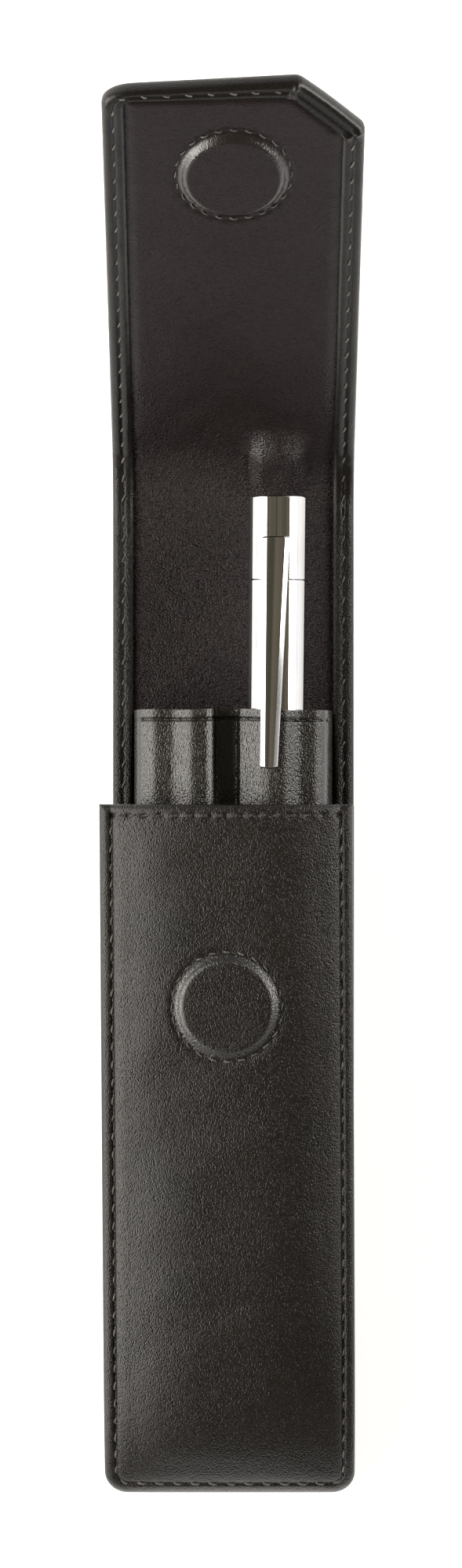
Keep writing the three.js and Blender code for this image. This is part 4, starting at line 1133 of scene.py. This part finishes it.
ring_turn = np.linspace(0, 2 * math.pi, 121)
ring_x = BUMP_STITCH * np.cos(ring_turn)
ring_y = BUMP_STITCH * np.sin(ring_turn)
ring_look = {"radius": RING_THREAD, "closed": True}
ring_line = on_front(ring_x, FRONT_MAGNET + ring_y)
front_ring = sew("front_magnet_stitches", ring_line, RING_PITCH, 58, THREAD, "case", **ring_look)
flap_ring_line = on_cover(joined(ring_x, FLAP_MAGNET + ring_y), INNER_FACE - RING_SUNK)
flap_ring = sew("flap_magnet_stitches", flap_ring_line, RING_PITCH, 59, THREAD, "flap", **ring_look)

for run, node in (
    (front_seam, "front_seam_thread"), (front_mouth, "front_mouth_thread"),
    (front_ring, "front_magnet_thread"), (flap_ring, "flap_magnet_thread"),
):
    stand_in(run, "thread", node)

mouth_row = sleeve_rows(np.array([[SLEEVE_TOP - SLEEVE_STITCH]]), 1)[0]
mouth_up = np.gradient(mouth_row, axis=0)
mouth_up = joined(-mouth_up[:, 2], 0, mouth_up[:, 0])
for side_name, start, end, seed in (
    ("left", -SLEEVE_SEWN_HALF, VALLEY_LEFT[0] - VALLEY_BARE, 60),
    ("right", VALLEY_RIGHT[1] + VALLEY_BARE, SLEEVE_SEWN_HALF, 62),
):
    sewn = (mouth_row[:, 0] > start) & (mouth_row[:, 0] < end)
    line = (mouth_row[sewn], mouth_up[sewn])
    run = sew(f"sleeve_{side_name}_stitches", line, SLEEVE_PITCH, seed, DARK_AND_SHADED_THREAD, "case", radius=0.2)
    stand_in(run, "thread", f"sleeve_{side_name}_thread")

# Pen pieces

finial_top = collar(PEN_RADIUS, 0, PEN_SEAM, 0, round_start=FINIAL_EDGE)[1:-2]
spigot = BARREL_BORE - SPIGOT_CLEAR
spigot_end = PEN_SEAM + SPIGOT_LONG
finial_shape = [(0, 0)] + finial_top + [(spigot, PEN_SEAM), (spigot, spigot_end), (0, spigot_end)]
finial = turned("finial", finial_shape, CHROME, "pen")
upper_shape = collar(PEN_RADIUS, PEN_SEAM + SEAM_GAP, PEN_BAND - PEN_GAP, BARREL_BORE)
upper = turned("upper_barrel", upper_shape, CHROME, "pen")
band_end = PEN_BAND + PEN_BAND_LONG
band = turned("centre_band", collar(PEN_RADIUS, PEN_BAND, band_end, BARREL_BORE), CHROME, "pen")
lower_start = band_end + PEN_GAP
lower_neck = PEN_BAND - LOWER_NECK_LONG
lower = turned("lower_barrel", [
    (LOWER_BORE, lower_neck), (LOWER_NECK, lower_neck), (LOWER_NECK, lower_start),
    (PEN_RADIUS - 0.15, lower_start), (PEN_RADIUS, lower_start + 0.15), (PEN_RADIUS - 0.06, lower_start + 8),
    (PEN_RADIUS - 0.25, lower_start + 16), (PEN_RADIUS - 0.6, lower_start + 28), (PEN_CONE_RADIUS, PEN_CONE),
    (LOWER_BORE, PEN_CONE), (LOWER_BORE, lower_neck),
], CHROME, "pen_lower")
point_start = PEN_CONE + PEN_GAP
point_neck = point_start - POINT_NECK_LONG
point = turned("point", [
    (POINT_BORE, point_neck), (POINT_NECK, point_neck), (POINT_NECK, point_start),
    (PEN_CONE_RADIUS - 0.1, point_start), (PEN_CONE_RADIUS, point_start + 0.1), (3.3, point_start + 4.5),
    (2.3, PEN_LENGTH - 4.5), (1.3, PEN_LENGTH - 0.3), (1.1, PEN_LENGTH), (POINT_HOLE, PEN_LENGTH),
    (POINT_HOLE, PEN_LENGTH - 2), (POINT_BORE, PEN_LENGTH - 6), (POINT_BORE, point_neck),
], CHROME, "pen_lower")
pen_clip = clip(CHROME)
for piece, node in (
    (finial, "pen_finial"), (upper, "pen_upper_barrel"), (band, "pen_centre_band"),
    (lower, "pen_lower_barrel"), (point, "pen_tip"), (pen_clip, "pen_clip"),
):
    stand_in(piece, "chrome", node)

for node, material in (
    ("back_board", BOARD), ("flap_board", BOARD), ("front_magnet", STEEL), ("flap_magnet", STEEL),
    ("pen_twist_mechanism", PLASTIC), ("pen_refill", BRASS),
):
    frame["nodes"][node].data.materials.clear()
    frame["nodes"][node].data.materials.append(material)


# Table, light and camera

def add_floor():
    """Table top under the case that sweeps up gently far away, so that no horizon shows."""
    radius = np.concatenate([[0], spaced(FLOOR_FLAT, FLOOR_REACH, 0.4)])[:, None]
    turn = np.linspace(0, 2 * math.pi, 97)[None]
    sweep = FLOOR_SWEEP * ((radius - FLOOR_FLAT).clip(0) / (FLOOR_REACH - FLOOR_FLAT)) ** 2
    points = joined(radius * np.cos(turn), radius * np.sin(turn), FLOOR_Z + sweep) / MM
    grid_piece("table", points, points[..., :2], floor_material())


def add_softbox(name, side, low, high, start, end, radiance):
    """Softbox that faces the object from one side.

    low and high are its edges in degrees above the table, and start and end are its ends along the case.
    """
    middle = math.radians((low + high) / 2)
    lamp = bpy.data.lights.new(name, "AREA")
    lamp.shape = "RECTANGLE"
    lamp.size = end - start
    lamp.size_y = 2 * SOFTBOX_DISTANCE * math.tan(math.radians(high - low) / 2)
    lamp.energy = radiance * math.pi * lamp.size * lamp.size_y
    lamp.color = LAMP_COLOUR
    holder = in_scene(name, lamp)
    along = (start + end) / 2
    across = side * SOFTBOX_DISTANCE * math.cos(middle)
    holder.location = (across, along, SOFTBOX_DISTANCE * math.sin(middle))
    aim = Vector((0, along, 0)) - holder.location
    holder.rotation_mode = "QUATERNION"
    holder.rotation_quaternion = aim.to_track_quat("-Z", "Y")


def set_world():
    """Dark olive ceiling with faint streaks, paler near the horizon."""
    world = bpy.data.worlds.new("room")
    bpy.context.scene.world = world
    world.use_nodes = True
    world.node_tree.nodes.clear()
    add, link = node_tools(world.node_tree)
    place = add("ShaderNodeTexCoord")
    split = add("ShaderNodeSeparateXYZ")
    streaks = noise_node(add, 7.0, 2.0, noise_dimensions="1D")
    ceiling = ramp(add, [(0.36, (0.095, 0.086, 0.06)), (0.62, (0.195, 0.168, 0.122))])
    height = smooth_range(add, 0.0, 0.72, 0.0, 1.0)
    horizon = smooth_range(add, -0.9, 0.0, 0.32, 0.8)
    blend = add("ShaderNodeMix", data_type="RGBA")
    room = add("ShaderNodeBackground")
    out = add("ShaderNodeOutputWorld")
    link(place, "Generated", split, 0)
    link(split, "X", streaks, "W")
    link(split, "Y", horizon, "Value")
    link(split, "Z", height, "Value")
    link(streaks, "Fac", ceiling, "Fac")
    link(height, "Result", blend, "Factor")
    link(horizon, "Result", blend, "A")
    link(ceiling, "Color", blend, "B")
    link(blend, "Result", room, "Color")
    link(room, 0, out, "Surface")


def add_camera():
    """Straight above the open case, 0.69 m from its back panel."""
    data = bpy.data.cameras.new("camera")
    data.lens = CAMERA_LENS
    data.sensor_width = 36
    data.clip_start = 0.01
    camera = in_scene("camera", data)
    camera.location = CAMERA_PLACE
    bpy.context.scene.camera = camera


add_floor()
add_softbox("left_softbox", -1, low=12, high=47, start=-0.55, end=0.5, radiance=6.2)
add_softbox("left_low_softbox", -1, low=3, high=12, start=-0.55, end=0.5, radiance=1.6)
add_softbox("right_softbox", 1, low=14, high=40, start=0.02, end=0.6, radiance=7.4)
add_softbox("right_low_softbox", 1, low=3, high=14, start=0.02, end=0.6, radiance=1.3)
set_world()
add_camera()
bpy.context.scene.view_settings.view_transform = "Standard"
